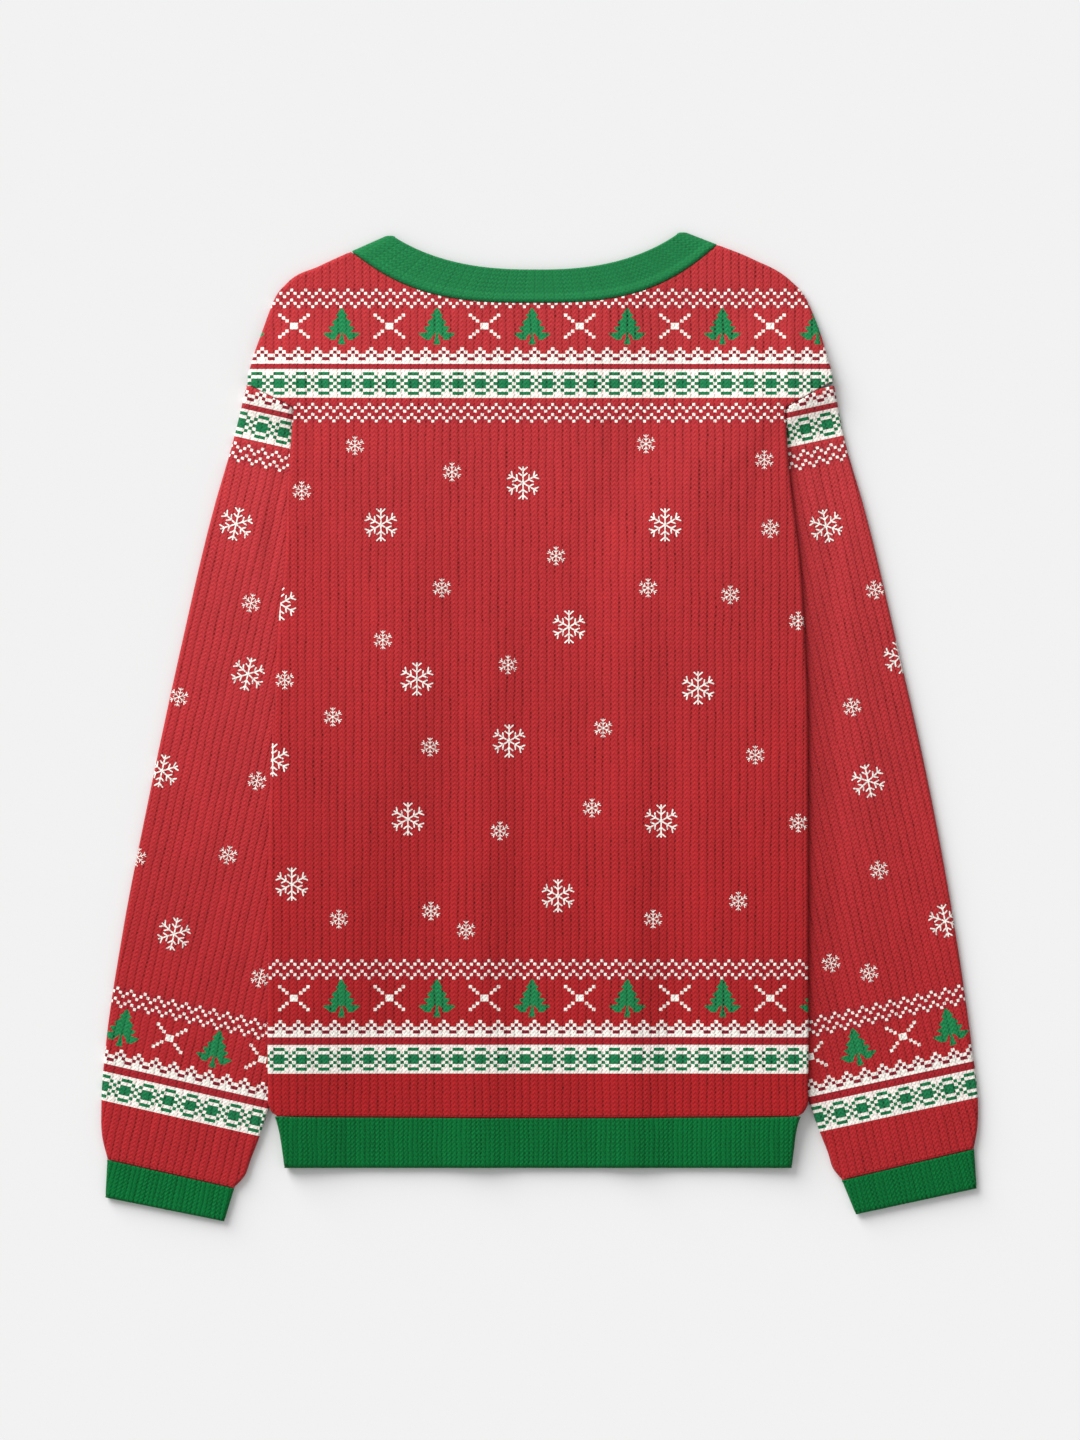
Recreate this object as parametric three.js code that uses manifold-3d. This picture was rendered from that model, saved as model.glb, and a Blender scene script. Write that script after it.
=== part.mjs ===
import * as THREE from "three";
import Module from "manifold-3d";

// A knitted crew-neck pullover laid flat on its front, with its back up and its sleeves folded down
// beside the body. Millimetres: +X to the right, +Y towards the neck, +Z up from the surface it lies on.
// Every piece is a wall of cloth. The sleeves lie on the surface, and the body lies over their inner edges.

// Cloth
const WALL = 2.4; // one layer of knitted cloth
const GAP = 0.3; // between two pieces at a seam, and between two layers
const PRESSED = 2 * WALL + GAP; // a tube of cloth pressed flat
const ROUND = PRESSED / 2; // radius of the folded edge of a pressed tube
const LIFT = PRESSED + 0.5; // how far the body is raised where a sleeve lies under it
const LIFT_MARGIN = 12; // the raised place reaches this far past the sleeve
const LIFT_FALL = 30; // and comes down to the surface over this length

// Ribs of the knitting: crests and grooves on the outer face only
const RIB_DEPTH = 0.5;
const RIB_PITCH = 6;
const HEM_RIBS = 54;
const CUFF_RIBS = 13;
const SLEEVE_RIBS = 22;
const COLLAR_RIBS = 40;
const WELT_DEPTH = 1.1; // the ribs of hem, cuffs and collar are deeper

// Bands
const HEM_TOP = -291.8;
const HEM_BOTTOM = -330.4;
const COLLAR_ROLL = 0.9; // the stitched roll along the collar's seam
const COLLAR_ROLL_SHARE = 0.24; // where the roll lies between the seam and the free edge

// The body's edge, from the hem seam up to the inner corner of the armhole seam
const BODY_EDGE = [
  { y: -291.5, left: -198, right: 196 },
  { y: -284, left: -202, right: 200.5 },
  { y: -270, left: -202.5, right: 201 },
  { y: -175, left: -202.5, right: 201 },
  { y: -40, left: -201, right: 201 },
  { y: 20, left: -198, right: 200.5 },
  { y: 80, left: -194.5, right: 198 },
  { y: 124, left: -190, right: 195 },
  { y: 187, left: -187.5, right: 187.5 },
  { y: 238, left: -183.5, right: 184 },
];

// The shoulder's outline, from the outer end of the armhole seam up to the collar
const SHOULDER = [
  { leftX: -218.5, leftY: 256, rightX: 220, rightY: 258.5 },
  { leftX: -211, leftY: 283, rightX: 213, rightY: 283 },
  { leftX: -205, leftY: 300, rightX: 207, rightY: 302.5 },
  { leftX: -197, leftY: 321, rightX: 198.5, rightY: 322 },
  { leftX: -188, leftY: 332, rightX: 188.5, rightY: 333 },
  { leftX: -164, leftY: 344.5, rightX: 160, rightY: 349.5 },
  { leftX: -140, leftY: 355.5, rightX: 133, rightY: 360.5 },
];

// The sleeve's outer edge, from the cuff up to the shoulder
const SLEEVE_OUTER = [
  { leftX: -323, leftY: -324, rightX: 325.5, rightY: -316 },
  { leftX: -326.5, leftY: -310, rightX: 328, rightY: -301 },
  { leftX: -327.5, leftY: -282.5, rightX: 328.5, rightY: -282.5 },
  { leftX: -324, leftY: -237.5, rightX: 323.5, rightY: -237.5 },
  { leftX: -312, leftY: -157, rightX: 312, rightY: -157 },
  { leftX: -291, leftY: -49, rightX: 292.5, rightY: -49 },
  { leftX: -268, leftY: 58.5, rightX: 268.5, rightY: 58.5 },
  { leftX: -242.5, leftY: 166, rightX: 242.5, rightY: 166 },
  { leftX: -229.5, leftY: 211, rightX: 229.5, rightY: 211 },
  { leftX: -218.5, leftY: 256, rightX: 220, rightY: 258.5 },
];

// The sleeve's inner edge, from the cuff up to its hidden end under the body
const SLEEVE_INNER = [
  { leftX: -228, leftY: -345.5, rightX: 226.5, rightY: -339.5 },
  { leftX: -220.5, leftY: -337, rightX: 220, rightY: -331 },
  { leftX: -216, leftY: -325, rightX: 216.5, rightY: -320 },
  { leftX: -210, leftY: -309.5, rightX: 211, rightY: -306 },
  { leftX: -201, leftY: -283, rightX: 200.5, rightY: -277.5 },
  { leftX: -175, leftY: -175, rightX: 175, rightY: -175 },
  { leftX: -145, leftY: -55, rightX: 145, rightY: -55 },
  { leftX: -122.5, leftY: 64.5, rightX: 122.5, rightY: 64.5 },
  { leftX: -115, leftY: 124.5, rightX: 115, rightY: 124.5 },
];

// The hem band's edge, from its bottom up to the seam
const HEM_EDGE = [
  { y: HEM_BOTTOM, left: -190.5, right: 189 },
  { y: -318.5, left: -192, right: 190.5 },
  { y: -300.5, left: -195, right: 193 },
  { y: HEM_TOP, left: -197.5, right: 195.5 },
];

// The cuffs' free ends; their seams are the sleeves' ends
const CUFF_END = {
  outer: { leftX: -324.5, leftY: -352.5, rightX: 327.5, rightY: -345.7 },
  inner: { leftX: -235.5, leftY: -370.4, rightX: 237, rightY: -365.2 },
};

// Necklines: x from one end to the other, y rising from `low` to both ends by a power of the way out
const NECKLINES = {
  backSeam: { left: -140, right: 133, low: 317, leftEnd: 355.5, rightEnd: 360.5, power: 3 },
  backFree: { left: -113, right: 108.5, low: 341.7, leftEnd: 367.5, rightEnd: 370, power: 2.5 },
  frontSeam: { left: -140, right: 133, low: 259, leftEnd: 355.5, rightEnd: 360.5, power: 2.4 },
  frontFree: { left: -113, right: 108.5, low: 284, leftEnd: 367.5, rightEnd: 370, power: 2.2 },
};

// Soft upright folds of the back: place at the hem and at the top, half width, reach and height
const FOLDS = [
  { hemX: -47, topX: -40, half: 34, bottom: -420, top: 150, height: 2.6 },
  { hemX: 66, topX: 60, half: 32, bottom: -420, top: 170, height: 2.8 },
  { hemX: 133, topX: 120, half: 22, bottom: -330, top: 20, height: 1.2 },
  { hemX: -186, topX: -190, half: 9, bottom: 232, top: 322, height: 1.2 },
  { hemX: 188, topX: 191, half: 9, bottom: 232, top: 322, height: 1.2 },
];
const FOLD_FADE = 90; // a long fold rises from nothing over this length

const RED = 0xac2d30;
const GREEN = 0x16653a;

const wasm = await Module();
wasm.setup();

const smooth = (t) => THREE.MathUtils.smoothstep(t, 0, 1);
const mix = THREE.MathUtils.lerp;
const side = (row, name) => new THREE.Vector2(row[name + "X"], row[name + "Y"]);

// Where one sleeve lies under the body, as a closed outline
function hiddenStrip(name) {
  const inner = SLEEVE_INNER.slice(4).map((row) => side(row, name));
  const corner = armholeCorner(name);
  const outside = Math.sign(corner.x) * 260;
  return [...inner, corner, new THREE.Vector2(outside, 150), new THREE.Vector2(outside, -283)];
}

function armholeCorner(name) {
  const row = BODY_EDGE.at(-1);
  return new THREE.Vector2(row[name], row.y);
}

function distanceToOutline(point, outline) {
  if (THREE.ShapeUtils.area(outline) < 0) outline = [...outline].reverse();
  let inside = false;
  let nearest = Infinity;
  outline.forEach((a, i) => {
    const b = outline[(i + 1) % outline.length];
    const along = b.clone().sub(a);
    const share = THREE.MathUtils.clamp(point.clone().sub(a).dot(along) / along.lengthSq(), 0, 1);
    nearest = Math.min(nearest, a.clone().addScaledVector(along, share).distanceTo(point));
    const crosses = a.y > point.y !== b.y > point.y;
    if (crosses && point.x < a.x + ((point.y - a.y) * along.x) / along.y) inside = !inside;
  });
  return inside ? 0 : nearest;
}

const STRIPS = ["left", "right"].map(hiddenStrip);

// Height of the body's underside: raised over the sleeves, on the surface elsewhere
function underside(x, y) {
  const away = Math.min(...STRIPS.map((strip) => distanceToOutline(new THREE.Vector2(x, y), strip)));
  return LIFT * (1 - smooth((away - LIFT_MARGIN) / LIFT_FALL));
}

// How far the back stands off the front at its folds
function fold(x, y) {
  return FOLDS.reduce((sum, f) => {
    const share = (y - f.bottom) / (f.top - f.bottom);
    if (share <= 0 || share >= 1) return sum;
    const fade = Math.min(FOLD_FADE, (f.top - f.bottom) / 2);
    const reach = smooth((y - f.bottom) / fade) * smooth((f.top - y) / fade);
    const off = Math.abs(x - mix(f.hemX, f.topX, share)) / f.half;
    return sum + f.height * reach * (1 - smooth(off));
  }, 0);
}

// A wall is gathered as positions and triangles. A row is a list of corners, each with its place `at` along it.
const newWall = () => ({ positions: [], triangles: [] });

function corner(wall, at, x, y, z) {
  wall.positions.push(x, y, z);
  return { at, index: wall.positions.length / 3 - 1 };
}

// Fills the strip between two rows, whose counts may differ. It faces up where `b` is beyond `a`.
function join(wall, a, b, turned = false) {
  let i = 0;
  let j = 0;
  while (i < a.length - 1 || j < b.length - 1) {
    const stepA = j === b.length - 1 || (i < a.length - 1 && a[i + 1].at <= b[j + 1].at);
    const face = stepA ? [a[i], a[i + 1], b[j]] : [a[i], b[j + 1], b[j]];
    if (turned) face.reverse();
    wall.triangles.push(...face.map((c) => c.index));
    if (stepA) i++;
    else j++;
  }
}

const joinRows = (wall, rows, turned) =>
  rows.slice(1).forEach((row, k) => join(wall, rows[k], row, turned));

function solidOf({ positions, triangles }) {
  return new wasm.Manifold(
    new wasm.Mesh({
      numProp: 3,
      vertProperties: new Float32Array(positions),
      triVerts: new Uint32Array(triangles),
    }),
  );
}

function geometryOf({ positions, triangles }) {
  const geometry = new THREE.BufferGeometry();
  geometry.setAttribute("position", new THREE.Float32BufferAttribute(positions, 3));
  geometry.setIndex([...triangles]);
  geometry.computeVertexNormals();
  return geometry;
}

function geometryOfSolid(solid) {
  const mesh = solid.getMesh();
  return geometryOf({ positions: [...mesh.vertProperties], triangles: mesh.triVerts });
}

// A closed block with vertical sides over a plan outline, for cutting cloth to shape
function cutter(outline) {
  const count = outline.length;
  const wall = newWall();
  const rows = [-50, 50].map((z) => outline.map((p, i) => corner(wall, i, p.x, p.y, z)));
  const [low, high] = rows;
  join(wall, [...low, { ...low[0], at: count }], [...high, { ...high[0], at: count }]);
  for (const [a, b, c] of THREE.ShapeUtils.triangulateShape(outline, [])) {
    wall.triangles.push(high[a].index, high[b].index, high[c].index);
    wall.triangles.push(low[c].index, low[b].index, low[a].index);
  }
  return solidOf(wall);
}

const spread = (from, to, count) => Array.from({ length: count + 1 }, (_, i) => mix(from, to, i / count));

// The body's cloth is laid out on columns and rows; rows are closer where the body climbs on a sleeve
const SHEET_ROWS = [-300, -275, -235, -170, -100, -30, 40, 105, 140, 170, 200, 225, 250, 295, 375];
const SHEET_HALF = 228;
const FINE_COLUMNS = spread(-SHEET_HALF, SHEET_HALF, (4 * SHEET_HALF) / RIB_PITCH);
const COARSE_COLUMNS = spread(-SHEET_HALF, SHEET_HALF, 30);

// A sheet of cloth cut to an outline: `under` gives its lower face, `over` its upper face
function panel(outline, columnsOver, under, over) {
  const wall = newWall();
  const rowsOf = (columns, height) =>
    SHEET_ROWS.map((y) => columns.map((x, k) => corner(wall, x, x, y, height(x, y, k))));
  const low = rowsOf(COARSE_COLUMNS, under);
  const high = rowsOf(columnsOver, over);
  const edge = (rows, k) => rows.map((row, j) => ({ at: SHEET_ROWS[j], index: row.at(k).index }));
  joinRows(wall, low, true);
  joinRows(wall, high);
  join(wall, low[0], high[0]);
  join(wall, low.at(-1), high.at(-1), true);
  join(wall, edge(low, 0), edge(high, 0), true);
  join(wall, edge(low, -1), edge(high, -1));
  return geometryOfSolid(solidOf(wall).intersect(cutter(outline)));
}

function neckPoint({ left, right, low, leftEnd, rightEnd, power }, out) {
  const end = out < 0 ? leftEnd : rightEnd;
  return new THREE.Vector2(mix(left, right, (out + 1) / 2), low + (end - low) * Math.abs(out) ** power);
}

// A panel's outline, anticlockwise from the hem's left corner, kept a gap clear of its seams
function panelOutline(neckline) {
  const edge = (name) => BODY_EDGE.map((row) => new THREE.Vector2(row[name], row.y));
  const shoulder = (name) => new THREE.SplineCurve(SHOULDER.map((row) => side(row, name))).getPoints(18);
  const neck = spread(1, -1, 36).map((out) => {
    const point = neckPoint(neckline, out);
    point.y -= GAP * (1 + 1.5 * Math.abs(out));
    return point;
  });
  const armhole = (name) => {
    const inner = armholeCorner(name);
    const outer = side(SHOULDER[0], name);
    const away = new THREE.Vector2(inner.y - outer.y, outer.x - inner.x).normalize();
    if (away.y < 0) away.negate();
    return { inner: inner.addScaledVector(away, GAP), outer: outer.addScaledVector(away, GAP) };
  };
  const right = armhole("right");
  const left = armhole("left");
  return [
    ...edge("right").slice(0, -1),
    right.inner,
    right.outer,
    ...shoulder("right").slice(1, -1),
    ...neck,
    ...shoulder("left").slice(1, -1).reverse(),
    left.outer,
    left.inner,
    ...edge("left").slice(0, -1).reverse(),
  ];
}

function frontPanel() {
  const over = (x, y) => underside(x, y) + WALL;
  return panel(panelOutline(NECKLINES.frontSeam), COARSE_COLUMNS, underside, over);
}

function backPanel() {
  const under = (x, y) => underside(x, y) + WALL + GAP + fold(x, y);
  const over = (x, y, k) => under(x, y) + WALL - (k % 2 ? RIB_DEPTH : 0);
  return panel(panelOutline(NECKLINES.backSeam), FINE_COLUMNS, under, over);
}

// A tube of cloth pressed flat and open at both ends. `place(row, share)` gives a plan point between the left
// and right edges of a row, `width(row)` the row's width; the upper face has two columns for each rib.
function pressedTube({ rowCount, ribs, plain, depth, place, width, ground, rise }) {
  const wall = newWall();
  const rows = { over: [], lining: [], liningUnder: [], under: [] };
  for (let row = 0; row < rowCount; row++) {
    const put = (share, height, lifted = 1) => {
      const p = place(row, share);
      return corner(wall, share, p.x, p.y, ground(p.x, p.y) + height + lifted * rise(p.x, p.y));
    };
    const inset = (length) => length / width(row);
    const between = (length, share) => mix(inset(length), 1 - inset(length), share);
    const [leftEdge, rightEdge] = [put(0, ROUND, 0), put(1, ROUND, 0)];
    const shoulderIn = ROUND * 0.5;
    const shoulderUp = ROUND * Math.sin(Math.PI / 3);
    const crests = spread(0, 1, 2 * ribs).map((share, k) =>
      put(between(ROUND, share), PRESSED - (k % 2 ? depth : 0)),
    );
    rows.over.push([
      leftEdge,
      put(inset(shoulderIn), ROUND + shoulderUp, 0),
      ...crests,
      put(1 - inset(shoulderIn), ROUND + shoulderUp, 0),
      rightEdge,
    ]);
    rows.under.push([
      leftEdge,
      put(inset(shoulderIn), ROUND - shoulderUp, 0),
      ...plain.map((share) => put(between(ROUND, share), 0, 0)),
      put(1 - inset(shoulderIn), ROUND - shoulderUp, 0),
      rightEdge,
    ]);
    const [liningLeft, liningRight] = [put(inset(WALL), ROUND, 0), put(1 - inset(WALL), ROUND, 0)];
    const lining = (height, lifted) => [
      liningLeft,
      ...plain.map((share) => put(between(WALL + GAP, share), height, lifted)),
      liningRight,
    ];
    rows.lining.push(lining(WALL + GAP, 1));
    rows.liningUnder.push(lining(WALL, 0));
  }
  joinRows(wall, rows.over);
  joinRows(wall, rows.under, true);
  joinRows(wall, rows.lining, true);
  joinRows(wall, rows.liningUnder);
  for (const [k, turned] of [[0, false], [-1, true]]) {
    join(wall, rows.lining.at(k), rows.over.at(k), turned);
    join(wall, rows.under.at(k), rows.liningUnder.at(k), turned);
  }
  return geometryOf(wall);
}

const level = () => 0;

// A sleeve runs from the cuff seam up to the armhole seam, whose corner lies where it meets the body's edge
function sleeve(name) {
  const outer = new THREE.SplineCurve(SLEEVE_OUTER.map((row) => side(row, name)));
  const inner = new THREE.SplineCurve(SLEEVE_INNER.map((row) => side(row, name)));
  const [leftEdge, rightEdge] = name === "left" ? [outer, inner] : [inner, outer];
  const rowCount = 13;
  const along = spread(0, 1, rowCount - 1).map((t) => t ** 1.5);
  const ends = along.map((t) => [leftEdge.getPointAt(t), rightEdge.getPointAt(t)]);
  const width = (row) => ends[row][0].distanceTo(ends[row][1]);
  const cornerColumn = name === "left" ? 10 : 2 * SLEEVE_RIBS - 10;
  const headInset = ROUND / width(rowCount - 1);
  const cornerShare = mix(headInset, 1 - headInset, cornerColumn / (2 * SLEEVE_RIBS));
  const bend = armholeCorner(name).sub(ends.at(-1)[0].clone().lerp(ends.at(-1)[1], cornerShare));
  const place = (row, share) => {
    const towardsCorner = share < cornerShare ? share / cornerShare : (1 - share) / (1 - cornerShare);
    const [a, b] = ends[row];
    return a.clone().lerp(b, share).addScaledVector(bend, towardsCorner * along[row] ** 8);
  };
  const cornerPlain = cornerColumn / (2 * SLEEVE_RIBS);
  const plain = [...new Set([0, 0.5 * cornerPlain, cornerPlain, 0.5 * (1 + cornerPlain), 1])];
  return pressedTube({
    rowCount,
    ribs: SLEEVE_RIBS,
    plain,
    depth: RIB_DEPTH,
    place,
    width,
    ground: level,
    rise: level,
  });
}

// A cuff goes on from the sleeve's end, a gap away, to its own free end
function cuff(name) {
  const names = name === "left" ? ["outer", "inner"] : ["inner", "outer"];
  const seam = { outer: side(SLEEVE_OUTER[0], name), inner: side(SLEEVE_INNER[0], name) };
  const end = { outer: side(CUFF_END.outer, name), inner: side(CUFF_END.inner, name) };
  const length = seam.outer.distanceTo(end.outer);
  const ends = [1, 0.5, (1.3 * GAP) / length].map((t) => names.map((key) => seam[key].clone().lerp(end[key], t)));
  return pressedTube({
    rowCount: ends.length,
    ribs: CUFF_RIBS,
    plain: spread(0, 1, 3),
    depth: WELT_DEPTH,
    place: (row, share) => ends[row][0].clone().lerp(ends[row][1], share),
    width: (row) => ends[row][0].distanceTo(ends[row][1]),
    ground: level,
    rise: level,
  });
}

function hemBand() {
  const ends = HEM_EDGE.map((row) => [new THREE.Vector2(row.left, row.y), new THREE.Vector2(row.right, row.y)]);
  return pressedTube({
    rowCount: HEM_EDGE.length,
    ribs: HEM_RIBS,
    plain: spread(0, 1, 26),
    depth: WELT_DEPTH,
    place: (row, share) => ends[row][0].clone().lerp(ends[row][1], share),
    width: (row) => ends[row][0].distanceTo(ends[row][1]),
    ground: underside,
    rise: fold,
  });
}

// The collar is a ring pressed flat: its back half lies over its front half and turns over at both ends.
// Each section goes along the outer face from the seam to the free edge, and back along the inner face.
function collar() {
  const middle = ROUND - WALL / 2; // the wall's middle turns over at the ends on this radius
  const faces = [
    { share: 0, out: WALL / 2 },
    { share: COLLAR_ROLL_SHARE / 2, out: WALL / 2 - COLLAR_ROLL },
    { share: COLLAR_ROLL_SHARE, out: WALL / 2 },
    { share: 1, out: WALL / 2 },
    { share: 1, out: -WALL / 2 },
    { share: 0, out: -WALL / 2 },
  ];
  const section = (seam, free, turn, groove) => {
    const across = free.clone().sub(seam).normalize();
    const outward = new THREE.Vector2(across.y, -across.x).multiplyScalar(Math.sign(seam.x));
    const tilt = Math.cos(turn);
    return faces.map(({ share, out }, k) => {
      const reach = middle + (k < 4 ? out - groove * (k > 0 && k < 4 ? 1 : 0) : out);
      const p = seam.clone().lerp(free, share).addScaledVector(outward, Math.sin(turn) * reach);
      return [p.x, p.y, ROUND + tilt * reach];
    });
  };
  const half = (seamLine, freeLine, outs, turn, ribbed) =>
    outs.map((out, k) =>
      section(neckPoint(seamLine, out), neckPoint(freeLine, out), turn, ribbed && k % 2 ? RIB_DEPTH : 0),
    );
  const { backSeam, backFree, frontSeam, frontFree } = NECKLINES;
  const turns = [Math.PI / 4, Math.PI / 2, (3 * Math.PI) / 4];
  const end = (out, angles) =>
    angles.map((turn) => section(neckPoint(backSeam, out), neckPoint(backFree, out), turn, 0));
  const sections = [
    ...half(backSeam, backFree, spread(-1, 1, 2 * COLLAR_RIBS), 0, true),
    ...end(1, turns),
    ...half(frontSeam, frontFree, spread(1, -1, 24), Math.PI, false),
    ...end(-1, [...turns].reverse()),
  ];
  const wall = newWall();
  const rings = sections.map((ring) => {
    const corners = ring.map((p, k) => corner(wall, k, ...p));
    return [...corners, { ...corners[0], at: ring.length }];
  });
  joinRows(wall, [...rings, rings[0]], true);
  return geometryOf(wall);
}

function piece(name, geometry, colour) {
  const cloth = new THREE.MeshStandardMaterial({ color: colour, roughness: 0.92, metalness: 0 });
  const mesh = new THREE.Mesh(geometry, cloth);
  mesh.name = name;
  return mesh;
}

const sweater = new THREE.Group();
sweater.add(
  piece("front_panel", frontPanel(), RED),
  piece("back_panel", backPanel(), RED),
  piece("neck_band", collar(), GREEN),
  piece("hem_band", hemBand(), GREEN),
);
for (const name of ["left", "right"]) {
  sweater.add(piece(`${name}_sleeve`, sleeve(name), RED), piece(`${name}_cuff`, cuff(name), GREEN));
}

// The origin is under the middle of the whole garment, on the surface it lies on
const bounds = new THREE.Box3().setFromObject(sweater);
const middle = bounds.getCenter(new THREE.Vector3());
sweater.position.set(-middle.x, -middle.y, -bounds.min.z);

export default sweater;
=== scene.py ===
# %% [markdown]
# # A knitted pullover laid flat
# This lesson dresses a crew-neck pullover that lies on its front. Its solids are already made and stay as
# they are. Each piece of cloth gets a fine shell on its solid's form, with ribs, folds and rolled edges,
# and a printed knit finish that is drawn by nodes.

import math

import bpy
import numpy as np
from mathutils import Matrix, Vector


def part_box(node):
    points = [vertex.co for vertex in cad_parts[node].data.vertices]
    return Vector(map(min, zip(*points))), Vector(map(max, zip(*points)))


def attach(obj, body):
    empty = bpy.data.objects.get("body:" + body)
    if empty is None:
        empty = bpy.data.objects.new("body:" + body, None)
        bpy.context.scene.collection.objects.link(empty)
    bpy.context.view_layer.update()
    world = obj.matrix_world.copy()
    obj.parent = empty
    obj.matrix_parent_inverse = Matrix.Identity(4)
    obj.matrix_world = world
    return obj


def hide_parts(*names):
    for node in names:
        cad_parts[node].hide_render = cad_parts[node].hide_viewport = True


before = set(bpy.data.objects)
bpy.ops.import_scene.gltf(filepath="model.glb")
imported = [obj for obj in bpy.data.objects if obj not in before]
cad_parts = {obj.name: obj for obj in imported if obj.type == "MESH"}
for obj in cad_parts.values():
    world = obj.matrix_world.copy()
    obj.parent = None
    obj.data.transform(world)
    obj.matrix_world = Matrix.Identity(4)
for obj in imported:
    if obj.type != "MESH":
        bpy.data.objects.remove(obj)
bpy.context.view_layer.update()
MM = 0.001
print("solids:", sorted(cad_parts))

# %% [markdown]
# ## The cloth's sizes
# One layer of this knit is 2.4 mm thick, and two layers that lie on each other leave a hair's gap. The
# body lies over the inner edges of the sleeves, so it is raised there and falls to the surface beside
# them. All lengths are millimetres until a mesh is made.

# %% Sizes of the cloth
WALL = 2.4
GAP = 0.3
PRESSED = 2 * WALL + GAP
LIFT = PRESSED + 0.5
LIFT_MARGIN = 12.0
LIFT_FALL = 30.0
BRIDGE_FALL = 75.0
RIB_PITCH = 6.0
RIB_DEPTH = 0.2
WELT_PITCH = 7.2
WELT_DEPTH = 0.4
SEAM_ROLL = 1.0
SHIFT = np.array([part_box("hem_band")[0].x / MM + 197.5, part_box("hem_band")[0].y / MM + 330.4])
print("the outline tables sit", SHIFT.round(2), "mm from the frame's origin")

# %% [markdown]
# ## The outline
# A flat garment is described by its edges. Each table has a row for each place where an edge changes its
# course, and a smooth curve runs through them. Left and right differ a little, because the pullover was
# laid by hand.

# %% Outline tables
BODY_EDGE = [  # y, left, right: from the hem seam up to the inner corner of the armhole seam
    (-291.5, -198, 196), (-284, -202, 200.5), (-270, -202.5, 201), (-175, -202.5, 201), (-40, -201, 201),
    (20, -198, 200.5), (80, -194.5, 198), (124, -190, 195), (187, -187.5, 187.5), (238, -183.5, 184),
]
SHOULDER = [  # left x, left y, right x, right y: from the armhole seam's outer end up to the collar
    (-218.5, 256, 220, 258.5), (-211, 283, 213, 283), (-205, 300, 207, 302.5), (-197, 321, 198.5, 322),
    (-188, 332, 188.5, 333), (-164, 344.5, 160, 349.5), (-140, 355.5, 133, 360.5),
]
SLEEVE_OUTER = [  # left x, left y, right x, right y: from the cuff up to the shoulder
    (-323, -324, 325.5, -316), (-326.5, -310, 328, -301), (-327.5, -282.5, 328.5, -282.5),
    (-324, -237.5, 323.5, -237.5), (-312, -157, 312, -157), (-291, -49, 292.5, -49),
    (-268, 58.5, 268.5, 58.5), (-242.5, 166, 242.5, 166), (-229.5, 211, 229.5, 211),
    (-218.5, 256, 220, 258.5),
]
SLEEVE_INNER = [  # the same, from the cuff up to the hidden end under the body
    (-228, -345.5, 226.5, -339.5), (-220.5, -337, 220, -331), (-216, -325, 216.5, -320),
    (-210, -309.5, 211, -306), (-201, -283, 200.5, -277.5), (-175, -175, 175, -175),
    (-145, -55, 145, -55), (-122.5, 64.5, 122.5, 64.5), (-115, 124.5, 115, 124.5),
]
HEM_EDGE = [(-330.4, -190.5, 189), (-318.5, -192, 190.5), (-300.5, -195, 193), (-291.8, -197.5, 195.5)]
CUFF_END = [(-324.5, -352.5, 327.5, -345.7), (-235.5, -370.4, 237, -365.2)]  # outer corner, inner corner
NECKLINES = {  # left, right, low, left end, right end, power
    "back_seam": (-140, 133, 317, 355.5, 360.5, 3.0),
    "back_free": (-113, 108.5, 341.7, 367.5, 370, 2.5),
    "front_seam": (-140, 133, 259, 355.5, 360.5, 2.4),
    "front_free": (-113, 108.5, 284, 367.5, 370, 2.2),
}


# %% Curves through the tables
def smooth_through(at, knots, values):
    """A curve through knots that rise, with an even slope at each."""
    knots, values = np.asarray(knots, float), np.asarray(values, float)
    slopes = np.gradient(values, knots)
    at = np.clip(at, knots[0], knots[-1])
    k = np.clip(np.searchsorted(knots, at) - 1, 0, len(knots) - 2)
    span = knots[k + 1] - knots[k]
    t = (at - knots[k]) / span
    return (
        values[k] * (1 + 2 * t) * (1 - t) ** 2
        + slopes[k] * span * t * (1 - t) ** 2
        + values[k + 1] * t**2 * (3 - 2 * t)
        + slopes[k + 1] * span * t**2 * (t - 1)
    )


def smoothstep(t):
    t = np.clip(t, 0, 1)
    return t * t * (3 - 2 * t)


def points_of(table, side):
    first = 0 if side == "left" else 2
    return np.array([row[first : first + 2] for row in table], float)


CORNER = {"left": np.array([-183.5, 238.0]), "right": np.array([184.0, 238.0])}
print("chest:", CORNER["right"][0] - CORNER["left"][0], "mm between the armholes")

# %% [markdown]
# ## How the garment lies
# Three things shape the cloth's height. It climbs on the sleeves that lie under the body. Soft folds run
# down the back, because the body is a little wider than it lies. Short creases pull at the armholes,
# where the sleeves are turned down. The folds are placed one by one, each with its own length and height.

# %% Height of the cloth
FOLDS = [  # x at the hem, x at the top, half width, bottom, top, height
    (-45, -38, 34, -420, 150, 2.3), (70, 66, 32, -420, 170, 2.4), (136, 122, 22, -330, 20, 1.0),
    (-186, -190, 9, 232, 322, 1.2), (188, 191, 9, 232, 322, 1.2),
]
FOLD_FADE = 90.0
CREASES = [  # from x, y to x, y, half width, height: troughs are negative
    (-176, 232, -150, 120, 7, -0.5), (-168, 226, -128, 168, 6, 0.5), (178, 232, 152, 128, 7, -0.5),
    (170, 228, 126, 172, 6, 0.5), (-112, -60, -118, -250, 12, -0.6), (-14, 60, -20, -270, 15, -0.7),
    (98, 40, 96, -280, 13, -0.7), (30, 240, 28, 150, 14, 0.4), (-90, 210, -84, 120, 13, 0.4),
    (-194, 322, -190, 262, 4, -0.5), (195, 320, 192, 262, 4, -0.5), (-60, -240, 40, -262, 9, 0.3),
]
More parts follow.
